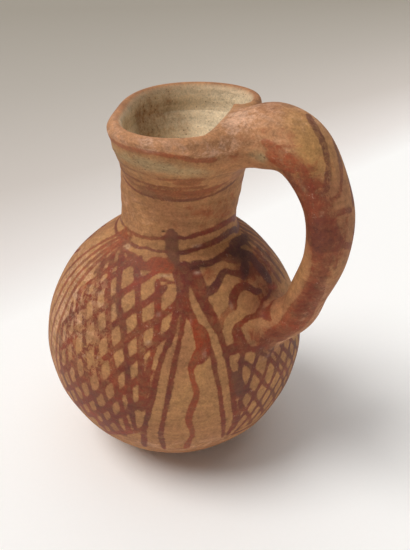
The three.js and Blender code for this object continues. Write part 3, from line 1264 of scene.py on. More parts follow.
# Soft patches on the vessel, by the name that the finish reads.
BLOTS: dict[str, tuple[Blot, ...]] = {
    # Painted shade: dark patches along the crease at the neck's foot and under the handle, with a few
    # small dark specks.
    "soot": (
        Blot(2, 88, 5, 4, 0.6), Blot(-5, 84.6, 4, 2.6, 0.5), Blot(9.5, 81.5, 3.4, 3.4, 0.5),
        Blot(16, 90.5, 6, 3, 0.4), Blot(-14, 90, 8, 2.4, 0.4), Blot(-36, 88.8, 5, 1.5, 0.6),
        Blot(-2, 93.4, 7, 1.6, 0.3), Blot(-65, 99, 0.8, 0.5, 0.9), Blot(-20, 119, 1.2, 0.7, 0.7),
        Blot(-25, 120.6, 0.8, 0.5, 0.7), Blot(-12, 114, 6, 3, 0.22), Blot(4, 117, 5, 4, 0.25),
    ),
    "crust": (
        Blot(-100, 126, 8, 4, 0.5), Blot(-84, 126.5, 8, 4, 0.62), Blot(-66, 126, 8, 4.5, 0.66),
        Blot(-48, 124.5, 8, 3.6, 0.6), Blot(-32, 123, 8, 3.6, 0.5), Blot(-14, 122, 8, 4, 0.5),
        Blot(4, 121, 8, 4, 0.5), Blot(-84, 120, 8, 3, 0.3), Blot(-70, 121, 8, 3, 0.3),
        Blot(150, 126, 12, 5, 0.5), Blot(-150, 126, 12, 5, 0.5), Blot(60, 125, 12, 5, 0.4),
    ),
    # Light chips, and a painted highlight along the crease under the handle's foot: the blots at 58 to
    # 61 mm.
    "chip": (
        Blot(-95.5, 91.5, 1.2, 0.8, 1.3), Blot(-34, 93.9, 1.5, 0.5, 0.9),
        Blot(-37.5, 87.6, 1.2, 0.6, 1.0), Blot(-61, 111.4, 0.8, 0.6, 0.8),
        Blot(-69, 133, 0.7, 1.0, 0.5), Blot(-62, 69.5, 0.9, 0.6, 0.8), Blot(-58.6, 77.5, 0.7, 0.6, 0.8),
        Blot(-22.5, 78, 0.6, 1.4, 0.5), Blot(-58, 87, 2.4, 0.4, 0.7), Blot(-39, 66, 0.6, 1.2, 0.7),
        Blot(-2, 60.6, 4, 0.7, 0.8), Blot(5, 60.8, 4, 0.7, 0.8), Blot(11, 60.2, 4, 0.6, 0.5),
        Blot(-11, 58.5, 2.5, 0.7, 0.35), Blot(-43.5, 75.8, 0.4, 1.5, 0.4),
    ),
    # Pale rosy patches. The large ones on the left of the body and of the neck are painted light that
    # lightens the lit side.
    "rosy": (
        Blot(-74, 86.6, 1.8, 1.2, 0.7), Blot(-116, 78, 22, 18, 0.5), Blot(-112, 52, 18, 26, 0.5),
        Blot(-88, 74, 16, 14, 0.12), Blot(24, 85, 10, 8, 0.4), Blot(-100, 104, 10, 8, 0.4),
        Blot(-48, 22, 44, 7, 0.5), Blot(-30, 131, 9, 3.4, 0.5), Blot(-44, 131, 8, 3, 0.4),
        Blot(-68, 133, 2.4, 3, 0.7), Blot(-95, 134, 5, 3, 0.3), Blot(-15, 129, 8, 4, 0.5),
        Blot(0, 133, 8, 5, 0.5),
    ),
    "wear": (
        Blot(-90, 66, 11, 10, 0.75), Blot(-97, 79, 8, 6, 0.55), Blot(-84, 56, 6, 6, 0.6),
        Blot(-104, 60, 8, 16, 0.4), Blot(-63, 69, 3, 3, 0.6), Blot(-57, 31, 8, 5, 0.4),
        Blot(26, 84, 12, 9, 0.35),
    ),
    "rub": (
        Blot(-66, 91, 4, 1.6, 0.3), Blot(-32, 86, 3, 2, 0.35), Blot(-46, 20.5, 24, 1.6, 0.4),
        Blot(-27, 24, 6, 4, 0.4), Blot(-50, 104, 10, 7, 0.28), Blot(-20, 106, 10, 8, 0.3),
        Blot(8, 60, 5, 3, 0.3), Blot(-2, 104, 8, 8, 0.3), Blot(0, 84, 11, 7, 0.7),
        Blot(5, 77, 9, 2.6, 0.6), Blot(26, 84, 12, 8, 0.5), Blot(-29, 87, 5, 2.4, 0.45),
    ),
}

# The tall wedge with double borders and a wavy line down its middle, as on the front.
WEDGE = (
    Stroke(((-50, 79.6), (-51.5, 75), (-53, 70.5), (-55.2, 67), (-56.4, 64), (-57.6, 60), (-58.4, 55.5),
           (-59.4, 51), (-60.6, 45.5), (-61.8, 40.5), (-63.2, 34), (-64.6, 25), (-65.5, 20)),
           2.1, 0.55),
    Stroke(((-46.2, 79), (-47.2, 76), (-48.2, 72.5), (-49, 70), (-50, 67), (-50.8, 64), (-51.5, 61),
           (-52.3, 57.3), (-52.9, 54), (-53.6, 50.3), (-54.3, 46), (-55, 42), (-55.8, 37.5),
           (-56.4, 32.5), (-56, 26), (-55.6, 20)), 1.9, 0.55),
    Stroke(((-46.5, 83), (-45.5, 80.5), (-44, 78), (-42.3, 75.5), (-41, 72.5), (-40, 69.5),
           (-39.5, 67.3)), 3.0, 0.2),
    Stroke(((-39.4, 73.5), (-38, 70.5), (-36.9, 68.3), (-35.9, 65.8), (-35.2, 62.8), (-35, 60),
           (-34.6, 57.2), (-34, 54), (-33.3, 50), (-32.7, 45.5), (-31.7, 41), (-30.7, 35.5),
           (-29.4, 30), (-28.6, 25)), 1.7, 0.35),
    Stroke(((-39.6, 73), (-39, 69.5), (-39.8, 66.2), (-41, 64.2)), 4.6, 0.15),
    Stroke(((-41, 67), (-42.6, 65), (-44, 62.8), (-44.6, 60.8)), 2.8, 0.05),
    Stroke(((-44.6, 61), (-44.1, 58.5), (-43.3, 56), (-42.7, 53.5), (-42.9, 51), (-43.8, 48.7),
           (-45, 45), (-45.4, 42), (-45, 39), (-43.9, 35.5), (-43.6, 31), (-44.9, 26.5), (-45.1, 21)),
           2.3, 0.05, 0.9),
    Stroke(((-38.5, 83.6), (-37.2, 81.4), (-35.4, 79), (-33.8, 76.6), (-32.4, 74), (-31.4, 72)),
           3.3, 0.5),
    Stroke(((-31.4, 72), (-30.3, 67), (-29.5, 62.5), (-29.1, 57), (-28.6, 52), (-27.7, 47.5),
           (-26.9, 43), (-26, 38), (-25.8, 33), (-26, 26)), 2.0, 0.5),
)

# The pooled paint where the front wedge meets the neck's foot.
FRONT_APEX = (
    Stroke(((-58, 98.5), (-57, 95.5), (-55, 92.5), (-52, 89.5)), 4.6, 0.9, 0.8),
    Stroke(((-51.5, 89), (-49.5, 87), (-47.5, 85), (-47, 82.5)), 4.6, 0.7),
    Stroke(((-46, 89.5), (-43.5, 87.6), (-40.5, 86)), 5.4, 0.7),
    Stroke(((-40, 88), (-38.6, 85.6), (-37.4, 83.2), (-36.6, 81)), 4.6, 0.5),
    Stroke(((-48.4, 83), (-49, 80.4), (-50.2, 77)), 2.8, 0.5),
    Stroke(((-50.5, 89.4), (-46, 89), (-41, 88.8), (-38, 88.6)), 3.6, 0.8),
    Stroke(((-69, 90), (-62, 89.6), (-54, 89)), 5.0, 0.0, 0.88),
    Stroke(((-87, 89.4), (-80, 89), (-74, 88.8), (-66, 88.8)), 3.4, 0.35, 0.9),
    Stroke(((-60, 86.4), (-56, 85.8), (-52.5, 85.4)), 1.5, 0.4),
    Stroke(((-100, 90.6), (-94, 90.6), (-88, 90.4), (-82, 90.2)), 1.8, 0.4, 0.85),
)

# The long stripes that fan out from the neck's foot on the far left.
LEFT_FAN = (
    Stroke(((-103, 93.5), (-107, 88.5), (-110, 82), (-111.5, 74), (-111.5, 64), (-110.5, 54),
           (-109, 44), (-107, 34), (-105, 26)), 1.9, 0.3, 0.85),
    Stroke(((-105, 94), (-111, 89), (-115.5, 82), (-117.5, 73), (-118, 62), (-117.5, 51), (-116, 40),
           (-114, 30)), 1.7, 0.3, 0.8),
    Stroke(((-107, 94.5), (-115, 90), (-121, 83.5), (-124, 74.5), (-125, 63), (-124.5, 51), (-123, 40),
           (-121, 30)), 1.8, 0.25, 0.8),
    Stroke(((-110, 95), (-119.5, 91), (-127.5, 85), (-132, 76), (-134, 65), (-134, 52), (-132.5, 40)),
           1.9, 0.25, 0.8),
    Stroke(((-98, 95.5), (-101, 91.5), (-103, 87), (-104.5, 82.5)), 1.7, 0.5, 0.8),
)

# The pooled paint at the top of a wedge on the hidden sides.
OTHER_APEX = (
    Stroke(((-50.5, 80), (-48.5, 84), (-45.5, 86), (-42, 86), (-38.5, 84), (-36, 81)), 2.6, 0.5),
    Stroke(((-47, 84.5), (-43.5, 83), (-41, 84)), 3.0, 0.4),
)

# Steep strokes of the net to the left of the wedge.
STEEP = (
    ((-62, 86), (-60.2, 82), (-58.8, 77), (-58.6, 73), (-59.2, 69), (-60.4, 64), (-61.4, 58.5),
     (-61.8, 52)),
    ((-79, 90.3), (-76.5, 87.2), (-73, 84.5), (-70, 80.5), (-67.2, 75.7), (-65.3, 69.4), (-64.1, 62.2),
     (-63.5, 53.8), (-63.4, 45)),
    ((-96, 89.8), (-91, 88), (-87.3, 85.8), (-84.7, 83.6), (-82, 81.4), (-79.4, 78.4), (-76, 74.8),
     (-73.6, 71.8), (-70.7, 65.3), (-69, 57.8), (-68, 50), (-67.4, 42), (-66.8, 34)),
    ((-102, 89), (-98, 86.8), (-94, 84.7), (-91, 82.6), (-86.5, 78.6), (-82.5, 74), (-78.9, 67.4),
     (-75.9, 60.3), (-73.7, 53), (-71.8, 46), (-70.8, 38), (-70, 31)),
    ((-105, 86.5), (-99.5, 82.5), (-92.5, 76), (-86.5, 69.3), (-83.7, 62), (-81, 54.7), (-78.7, 47.2),
     (-76.8, 40), (-75, 33), (-73.5, 27)),
    ((-103, 79), (-96.5, 72), (-92, 66), (-90, 60), (-87.5, 53), (-85.3, 46), (-83.3, 39), (-81.5, 32),
     (-80, 25)),
    ((-105.5, 76), (-100.5, 69), (-97.5, 63), (-95.3, 56), (-93, 49.5), (-91, 43), (-89, 36), (-87, 29),
     (-85.5, 23)),
    ((-107.5, 72), (-103.5, 65), (-101.2, 57), (-99.2, 50), (-97.3, 43), (-95.5, 36), (-93.5, 29)),
    ((-108.5, 64), (-106.5, 56), (-104.8, 48), (-103, 41), (-101, 34), (-99, 27)),
)

# Rising strokes of the same net.
RISING = (
    ((-107, 76), (-102, 80.5), (-97, 84.8), (-91, 89)),
    ((-108, 64.5), (-103, 69.5), (-98.5, 75), (-94, 80.3), (-89.8, 85.2), (-84, 88.5)),
    ((-107.5, 54), (-101.5, 60), (-96.5, 65.2), (-92, 70), (-88, 74.7), (-82.8, 79.2), (-77, 82.8),
     (-70, 86), (-62, 88.5)),
    ((-107, 44), (-102, 48.5), (-97, 53.5), (-92, 58.8), (-87.5, 63.5), (-83.2, 68.3), (-78.2, 72.8),
     (-72.4, 76.9), (-65, 80.5), (-57, 84.5)),
    ((-105, 36.5), (-99, 41.5), (-94, 46), (-89, 51), (-84.5, 56), (-80, 61.3), (-74.8, 66.4),
     (-69.5, 70.7), (-63, 74.4), (-54.9, 78.2), (-51, 80.5)),
    ((-103, 29), (-97, 34), (-91, 39), (-86, 43.5), (-81.5, 48.5), (-77.3, 54), (-72.3, 59.4),
     (-67.4, 63.8), (-62, 67.9), (-56, 71.2), (-53.5, 73)),
    ((-95, 27.5), (-89.5, 32), (-84, 36.5), (-79.5, 41), (-75.2, 46.5), (-70.7, 51.8), (-66, 56.3),
     (-59.5, 60.5)),
    ((-88, 25.5), (-83, 30), (-78, 34.5), (-74, 38.8), (-69, 43.4), (-65.3, 46.6), (-60.5, 50.2)),
    ((-101, 19), (-93, 19.6), (-86.4, 20.6), (-80, 25), (-74.5, 28.1), (-70.5, 30.6), (-65.5, 33.4),
     (-62.2, 37)),
)


def left_net() -> list[Stroke]:
    """The net of crossed strokes to the left of the wedge.

    Returns:
        The strokes, in tones that change from one to the next.
    """
    strokes = [Stroke(route, 2.3, 0.3 + 0.16 * (i % 3)) for i, route in enumerate(STEEP)]
    strokes += [Stroke(route, 2.3, 0.3 + 0.2 * (i % 2)) for i, route in enumerate(RISING)]
    return strokes


# Strokes of the smaller net that fall to the left.
FALLING_LEFT = (
    ((-21.5, 66), (-23, 62), (-24.4, 58.5), (-25, 52), (-24.7, 47), (-24, 42), (-24.5, 36),
     (-24.5, 29)),
    ((-13, 63), (-16.4, 59.3), (-18.4, 56.5), (-20, 53.5), (-22.5, 49.5), (-24.6, 46)),
    ((-6.5, 60.5), (-9.3, 57.5), (-12, 53), (-15.8, 48), (-18.5, 44), (-19.9, 41.2), (-22, 37),
     (-24.5, 32.5)),
    ((1, 58.5), (-2, 55.5), (-5, 52), (-7.7, 47.8), (-10, 44.5), (-12.6, 41), (-16, 36.5), (-19, 32),
     (-22, 26)),
    ((7.5, 56), (4.5, 52.5), (1, 48.5), (-3, 43.5), (-8, 38), (-12, 33), (-16, 27)),
    ((14, 54), (10, 49), (6, 44), (1, 38.5), (-4, 33), (-9, 27.5)),
    ((21, 53), (17, 47.5), (12.5, 42), (7.5, 36.5), (2, 31), (-3, 26)),
    ((28, 52), (24, 46.5), (19.5, 41), (14.5, 35.5), (9.5, 30.5), (4, 25.5)),
    ((33, 49), (29, 43.5), (25.5, 39), (21, 34.5), (16, 30), (11, 25.5)),
)

# Strokes of the smaller net that fall to the right.
FALLING_RIGHT = (
    ((-22, 65.7), (-18.5, 64), (-15.5, 62.3), (-10, 58.5), (-6, 53.5), (-2, 48), (1.5, 43), (4.5, 38),
     (7, 33)),
    ((-25.5, 61.5), (-23, 60.4), (-20.7, 59.2), (-15.8, 53.5), (-12, 47.8), (-7.5, 43), (-4, 38.5),
     (-1, 34), (1, 30)),
    ((-24, 52.5), (-22.5, 50.5), (-19.8, 48), (-16, 42), (-12.5, 37.5), (-9.5, 33), (-7, 28.5)),
    ((-24.5, 44.5), (-21.8, 40), (-19, 36), (-16, 31), (-13.5, 26.5)),
    ((-10, 61.5), (-6, 58.5), (-3, 54.5), (1, 49.5), (5, 44.5), (8.5, 39.5), (11.5, 34.5), (14, 30)),
    ((-2, 60), (2, 56), (6.5, 51), (10.5, 46), (14, 41), (17, 36), (19.5, 31)),
    ((6, 60), (10, 55.5), (14.5, 50.5), (18.5, 45.5), (22, 40.5), (25, 35.5), (27.5, 31)),
    ((14, 60), (18, 55), (22.5, 50), (26.5, 45), (29.5, 40), (32, 35)),
    ((22, 60), (26, 55), (30, 50), (33, 46)),
    ((-24, 24.5), (-14, 23.5), (-2, 24), (12, 24.5), (26, 25.5), (33, 27)),
)


def low_net() -> list[Stroke]:
    """The smaller net under the handle, right of the front wedge.

    Returns:
        The strokes.
    """
    strokes = [Stroke(route, 1.75, 0.7) for route in FALLING_LEFT]
    strokes += [Stroke(route, 1.6, 0.6) for route in FALLING_RIGHT]
    strokes.append(Stroke(((-27, 57), (-25.5, 53), (-25.5, 49)), 4.0, 1.0, 0.85))
    return strokes


# The wavy lines on the shoulder between the wedge and the handle's foot.
SHOULDER_WAVES = (
    Stroke(((-6, 84.6), (-10, 85), (-13.5, 85.6), (-18.6, 86.6), (-22.5, 86), (-25.5, 84.8),
           (-29, 83.5), (-33.5, 82.4)), 2.8, 0.75),
    Stroke(((-1.5, 78.4), (-5, 79), (-8.4, 80.9), (-13.6, 81.8), (-17.5, 81), (-20, 79.8),
           (-21.3, 78.6), (-20.8, 77.2)), 3.0, 0.65),
    Stroke(((-21, 77.3), (-24, 76.9), (-26.4, 76.2), (-28.7, 74.8), (-30.5, 72.8)), 1.9, 0.2, 0.6),
    Stroke(((8, 77.2), (5, 76.2), (2, 75.8), (-0.6, 75.8), (-3.2, 75.7), (-6, 74.8), (-8.6, 73.6)),
           1.3, 0.4),
    Stroke(((-8, 73.8), (-11.4, 73.1), (-15, 73.1), (-18.8, 72.7), (-22.3, 71.8), (-24.3, 70.3),
           (-23.8, 68.6), (-22.8, 66), (-22.2, 63.5)), 2.4, 0.4),
    Stroke(((6, 77.4), (9.3, 76.6), (13, 75.6)), 1.9, -0.05, 0.75),
    Stroke(((-29.5, 65.2), (-26, 65.6), (-22.5, 65.8), (-19.5, 64.5)), 3.6, 0.6),
    Stroke(((-22.6, 70.6), (-21.8, 68), (-20.8, 65.5)), 3.2, 0.6),
    Stroke(((-18, 63.8), (-14, 62.8), (-10, 62.8), (-7.4, 64.2)), 2.4, 0.6, 0.9),
    Stroke(((-7.4, 64), (-5, 66), (-2.6, 68.2), (1, 69.6)), 3.4, 0.1),
    Stroke(((0, 91.6), (11, 91.4), (24, 91)), 3.6, 1.0),
    Stroke(((-4, 90.2), (3, 88.6), (10, 86.6)), 5.4, 1.0),
    Stroke(((0, 86.6), (-4, 85.4), (-8.6, 84)), 4.4, 1.0),
    Stroke(((8, 85.5), (9, 82.5), (10, 79.2)), 4.6, 1.0, 0.95),
    Stroke(((-15, 89.4), (-9, 88.6), (-3, 88)), 2.6, 0.7, 0.7),
    Stroke(((15, 91), (17.5, 86), (19, 80), (19.5, 75.5)), 2.2, 0.6, 0.85),
    Stroke(((22, 91.5), (25, 86), (27, 80), (27.5, 74)), 2.4, 0.9, 0.9),
    Stroke(((28, 92), (33, 86), (35.5, 80), (36.5, 73)), 2.2, 0.6, 0.85),
    Stroke(((35, 92.5), (42, 86), (45, 79.5), (46, 72)), 2.4, 0.9, 0.9),
    Stroke(((43, 92.5), (52, 86), (56, 79.5), (57, 72)), 2.4, 0.7, 0.85),
    Stroke(((52, 92.5), (63, 86), (67, 79.5), (68, 72)), 2.2, 0.8, 0.8),
)


def back_band(height: float, sway: float, waves: int, start: float = 0.0) -> Route:
    """Route of a band round the back of the neck, which wavers a little.

    Args:
        height: Its middle height in millimetres.
        sway: How far it wavers up and down.
        waves: How many waves a full turn would have.
        start: Where in a wave it starts, in radians.

    Returns:
        The route by angle and height.
    """
    ring = np.linspace(16, 212, 24)
    return tuple((float(a), height + sway * math.sin(math.radians(a) * waves + start)) for a in ring)


def neck_bands(form: VesselForm) -> list[Stroke]:
    """The bands round the foot and the upper part of the neck, and a painted shadow line under the lip.

    Args:
        form: The vessel that they are painted on.

    Returns:
        The strokes.
    """
    foot = form.neck_foot
    return [
        Stroke(((-150, 96.6), (-133, 96.4), (-118, 96.2), (-108, 95.6), (-97, 95.5), (-86, 95.5),
               (-76, 95.9), (-66, 96.5), (-58, 97)), 1.2, 0.6, 0.8),
        Stroke(((-64, 96.7), (-57, 97.2), (-50, 97), (-45, 96.8), (-40, 97.2), (-35, 97.7)), 1.7, 0.8),
        Stroke(((-40, 97.2), (-34, 97.7), (-28, 97.9), (-20, 98.3), (-10, 98.7), (0, 99.2), (12, 99.3),
               (24, 98.4)), 2.2, 0.5),
        Stroke(back_band(97.4, 0.9, 2, math.pi / 2.0), 1.8, 0.5, 0.85),
        Stroke(((-150, foot), (-120, foot - 0.2), (-97, foot - 0.2), (-86, foot - 0.5),
               (-78, foot - 0.1), (-69, foot - 0.3), (-58, foot - 0.3), (-50, foot - 0.3)),
               1.3, 0.6, 0.9),
        Stroke(((-52, foot - 0.4), (-44, foot - 0.4), (-38, foot), (-30, foot + 0.6), (-20, foot + 1),
               (-10, foot + 1.6), (0, foot + 2.3), (10, foot + 2.4), (20, foot + 1.6)), 2.2, 0.75),
        Stroke(back_band(foot + 0.4, 0.4, 3), 1.8, 0.6),
        Stroke(((-39, 89.8), (-34, 89.6), (-30, 89.4), (-25, 89.5), (-20, 89.9), (-12, 90.5), (-4, 91),
               (6, 91)), 2.3, 0.8),
        Stroke(((-112, 115.4), (-102, 113.8), (-92, 112.4), (-82, 111.6), (-70, 111.3), (-58, 111.4),
               (-46, 111.6), (-34, 112), (-22, 113), (-10, 114.4), (2, 115.6)), 1.35, 0.75, 0.8),
        Stroke(((-84, 113), (-76, 112.9), (-68, 112.8), (-60, 113)), 2.4, 0.9, 0.5),
        Stroke(((-78, 115), (-66, 114.6), (-56, 114.6), (-44, 114.6), (-32, 115), (-20, 116.2),
               (-8, 117.6)), 2.2, 0.4, 0.7),
        Stroke(((-60, 113.6), (-48, 113.2), (-36, 113.5), (-24, 114.2)), 1.4, 0.3, 0.6),
        Stroke(((-112, 119.4), (-100, 118.2), (-88, 117.4), (-74, 116.9), (-60, 116.8), (-46, 116.9),
               (-32, 117.2)), 1.35, 0.55, 0.65),
        Stroke(((-104, 116.2), (-92, 115.2), (-80, 114.6)), 1.1, 0.5, 0.5),
        Stroke(((-68, 120.2), (-58, 120.4), (-48, 120.6), (-38, 120.5), (-30, 120.6)), 1.5, 0.5, 0.6),
        Stroke(((-56, 119), (-48, 118.9), (-40, 119)), 1.9, 0.4, 0.55),
        Stroke(((-98, 122.6), (-86, 121.8), (-74, 121.4)), 1.1, 0.4, 0.4),
        Stroke(((-24, 117.8), (-12, 118), (2, 119)), 1.6, 0.9, 0.55),
        Stroke(back_band(112.4, 0.8, 2), 1.5, 0.5, 0.7),
        # Painted shadow: an orange-brown line in the crease under the lip's overhang, drawn as brush
        # strokes.
        Stroke(((-118, 130.2), (-106, 130.6), (-94, 130.8), (-82, 130.7), (-70, 130.8), (-60, 130.8)),
               1.8, -0.6, 0.5),
        Stroke(((-64, 130.7), (-57, 130), (-50, 129.2)), 2.0, -0.2, 0.65),
        Stroke(((-50, 128.7), (-44, 128.1), (-38, 127.9), (-33, 127.8)), 1.9, 0.1, 0.65),
        Stroke(((-34, 127.7), (-25, 127.3), (-15, 126.9), (-2, 126)), 1.2, 0.3, 0.6),
        Stroke(back_band(130.4, 0.7, 2, 1.0), 1.2, 0.1, 0.8),
    ]


# The stripes on the handle, by degrees round the roll and hundredths of its length.
HANDLE_STROKES = (
    Stroke(((8, 31.5), (-6, 33), (-16, 37), (-25, 40.5), (-35, 43), (-45, 44.8), (-56, 46.5)),
           2.6, 0.8, 0.85),
    Stroke(((14, 41.5), (5, 43), (-5, 45), (-15, 46.8), (-32, 47.6), (-50, 48)), 1.8, 0.4, 0.8),
    Stroke(((22, 37), (14, 39.5), (8, 42)), 2.6, 0.8, 0.8),
    Stroke(((-58, 49), (-42, 50.2), (-26, 50.8), (-10, 51), (8, 51.5)), 1.9, 0.4, 0.85),
    Stroke(((-56, 50), (-44, 53.5), (-30, 57), (-16, 58.5), (0, 59.5), (12, 60)), 2.6, 0.5, 0.85),
    Stroke(((-40, 56), (-36, 60), (-32, 64)), 2.2, 0.4, 0.7),
    Stroke(((-84, 28), (-86, 31), (-88, 34), (-86, 38)), 3.4, -0.3, 0.6),
    Stroke(((-104, 30), (-102, 33), (-96, 37), (-90, 41)), 4.6, 0.0, 0.65),
    Stroke(((-88, 37), (-86, 41), (-82, 45), (-76, 49)), 5.0, 0.4, 0.8),
    Stroke(((-112, 38), (-108, 44), (-104, 50), (-98, 57)), 5.5, 0.6, 0.75),
    Stroke(((-82, 46), (-80, 51), (-78, 56), (-76, 61)), 3.8, 0.75, 0.8),
    Stroke(((-66, 49), (-65, 54), (-62, 60), (-60, 67), (-60, 74)), 4.2, 0.7, 0.65),
    Stroke(((-80, 60), (-78, 66), (-76, 72)), 3.6, 0.2, 0.7),
    Stroke(((-54, 53), (-48, 57), (-44, 61)), 3.0, 0.6, 0.75),
    Stroke(((-58, 70), (-60, 76), (-62, 82), (-63, 88), (-64, 94), (-66, 101)), 7.4, 0.35, 0.72),
    Stroke(((-84, 78), (-92, 83), (-86, 88), (-84, 93), (-76, 97)), 2.4, 0.25, 0.75),
    Stroke(((-60, 82), (-48, 84), (-36, 85)), 2.0, 0.7, 0.7),
    Stroke(((-30, 16), (-20, 19), (-8, 21), (4, 23)), 0.9, 0.2, 0.7),
    Stroke(((66, 36), (50, 41), (36, 46), (20, 51)), 2.3, 0.6),
    Stroke(((70, 44), (52, 48), (36, 53), (18, 58)), 2.0, 0.5),
    Stroke(((80, 44), (82, 56), (74, 68), (70, 80), (78, 96)), 7.0, 0.3, 0.85),
)


@dataclass(frozen=True)
class Rub:
    """A soft patch on the handle, by hundredths of its length and degrees round it."""

    share: float
    turn: float
    long: float
    round: float
    strength: float = 1.0


# Soft patches on the handle, by the name that the finish reads.
RUBS: dict[str, tuple[Rub, ...]] = {
    "rub": (
        Rub(33, -94, 5, 40, 0.5), Rub(46, -98, 9, 55, 0.6), Rub(56, -84, 9, 50, 0.6),
        Rub(68, -66, 9, 36, 0.5), Rub(80, -72, 9, 34, 0.4), Rub(92, -80, 10, 34, 0.5),
        Rub(57, -28, 6, 36, 0.45), Rub(20, -104, 5, 30, 0.4), Rub(42, -60, 4, 24, 0.3),
        Rub(60, 70, 30, 60, 0.4),
    ),
    "wear": (
        Rub(60, -70, 26, 70, 0.5), Rub(40, -50, 14, 60, 0.3), Rub(80, -54, 2.4, 8, 0.8),
        Rub(90, -40, 6, 16, 0.5), Rub(36, -100, 5, 14, 0.5),
    ),
    "slip": (
        Rub(16, -40, 8, 70, 0.3), Rub(21, -60, 4, 30, 0.4), Rub(27, -56, 6, 28, 0.75),
        Rub(32.5, -74, 4, 16, 0.8), Rub(30, 40, 10, 50, 0.3),
    ),
    # Pale rosy patches. Those from 73 to 92 hundredths are a painted highlight along the lower part of
    # the handle.
    "rosy": (
        Rub(19, -45, 5, 45, 0.8), Rub(25, -88, 3.5, 12, 0.5), Rub(50, -70, 1.2, 12, 0.6),
        Rub(73, -35, 6, 18, 0.5), Rub(82, -10, 7, 16, 0.6), Rub(30, -5, 7, 40, 0.4),
        Rub(92, -26, 6, 14, 0.6), Rub(80, -52, 3, 10, 0.5), Rub(88, -52, 4, 12, 0.3),
    ),
    "ochre": (
        Rub(35, -32, 7, 40, 1.0), Rub(38, -68, 4, 18, 0.8), Rub(42, -90, 5, 14, 0.6),
        Rub(70, -125, 8, 30, 0.4), Rub(91, -120, 9, 24, 0.4), Rub(36, 150, 8, 60, 0.5),
    ),
    "crust": (
        Rub(27, -112, 4, 18, 0.75), Rub(42, -90, 4.5, 12, 0.4), Rub(38, -68, 2.6, 9, 0.35),
        Rub(27, 118, 5, 20, 0.6), Rub(72, -40, 6, 16, 0.22),
    ),
}


def rubs_at(share: np.ndarray, turn: np.ndarray, rubs: Sequence[Rub]) -> np.ndarray:
    """How strong soft patches are at points of the handle.

    Args:
        share: Hundredths of the handle's length.
        turn: Degrees round the handle.
        rubs: The patches.

    Returns:
        A number from 0 up for each point.
    """
    total = np.zeros(len(share))
    for rub in rubs:
        across = (turn - rub.turn + 180.0) % 360.0 - 180.0
        reach = ((share - rub.share) / rub.long) ** 2 + (across / rub.round) ** 2
        total += rub.strength * np.exp(-reach)
    return total


@dataclass
class Dressing:
    """What is painted, spilt and grown on the pitcher, measured at the points of a mesh."""

    form: VesselForm
    body: Brushwork = field(init=False)

    def __post_init__(self) -> None:
        """Lay out the brushwork: what the front shows, and its like on the sides that are hidden."""
        self.body = Brushwork(self.form.outside)
        plan = (
            (WEDGE, (0.0, -175.0, 97.0)),
            (OTHER_APEX, (-175.0, 97.0)),
            (LEFT_FAN, (0.0,)),
            (left_net(), (0.0, -92.0, -175.0)),
            (FRONT_APEX, (0.0,)),
            (low_net(), (0.0,)),
            (SHOULDER_WAVES, (0.0,)),
            (neck_bands(self.form), (0.0,)),
        )
        for strokes, turns in plan:
            for degrees in turns:
                self.body.add(*(stroke.turned(degrees) for stroke in strokes))

    def tints(self, flat: np.ndarray) -> dict[str, np.ndarray]:
        """Slips, stains, painted shade inside the mouth and the bare inside, for points of the vessel
        before the hand-forming.

        Args:
            flat: Rows of x, y and z in millimetres.

        Returns:
            Numbers by the name that the material reads.
        """
        form = self.form
        radius = np.hypot(flat[:, 0], flat[:, 1])
        angle = np.degrees(np.arctan2(flat[:, 1], flat[:, 0]))
        height = flat[:, 2]
        inside = smooth(form.wall_middle(height) - radius, 0.3, 2.4)
        inside *= height > form.pad_joint + 1.0
        low = form.lip_foot + 5.4 - 4.2 * np.exp(-(((angle + 5.0) / 48.0) ** 2))
        lip = smooth(height, low - 0.6, low + 1.0)
        lip *= 0.35 + 0.65 * smooth(np.abs(angle + 85.0), 60.0, 25.0)
        blush = smooth(height, form.neck_foot + 1.0, form.neck_foot + 8.0)
        blush *= 1.0 - smooth(height, form.neck_foot + 18.0, form.neck_foot + 26.0)
        slip = np.maximum(lip * (1.0 - inside), 0.3 * blush * np.exp(-(((angle + 42.0) / 34.0) ** 2)))
        from_far = angle % 360.0 - 180.0
        # Painted shade: the inner wall of the mouth is darker on the side away from the handle, with a
        # brown stain patch there.
        shade = 0.2 * np.exp(-(((from_far + 10.0) / 66.0) ** 2))
        stain = 0.42 * np.exp(-((from_far / 40.0) ** 2)) * smooth(height, 138.0, 132.0)
        return {
            "inside": inside,
            "ochre": np.clip(1.0 - slip, 0.0, 1.0) * 0.4,
            "slip": np.maximum(slip, 0.5 * smooth(-height, -4.0, -1.5)),
            "stain": shade + stain,
        }

    def marks(self, points: np.ndarray) -> dict[str, np.ndarray]:
        """Soft patches at points of any piece, by the name that the material reads."""
        return {name: blots_at(points, self.form, patches) for name, patches in BLOTS.items()}


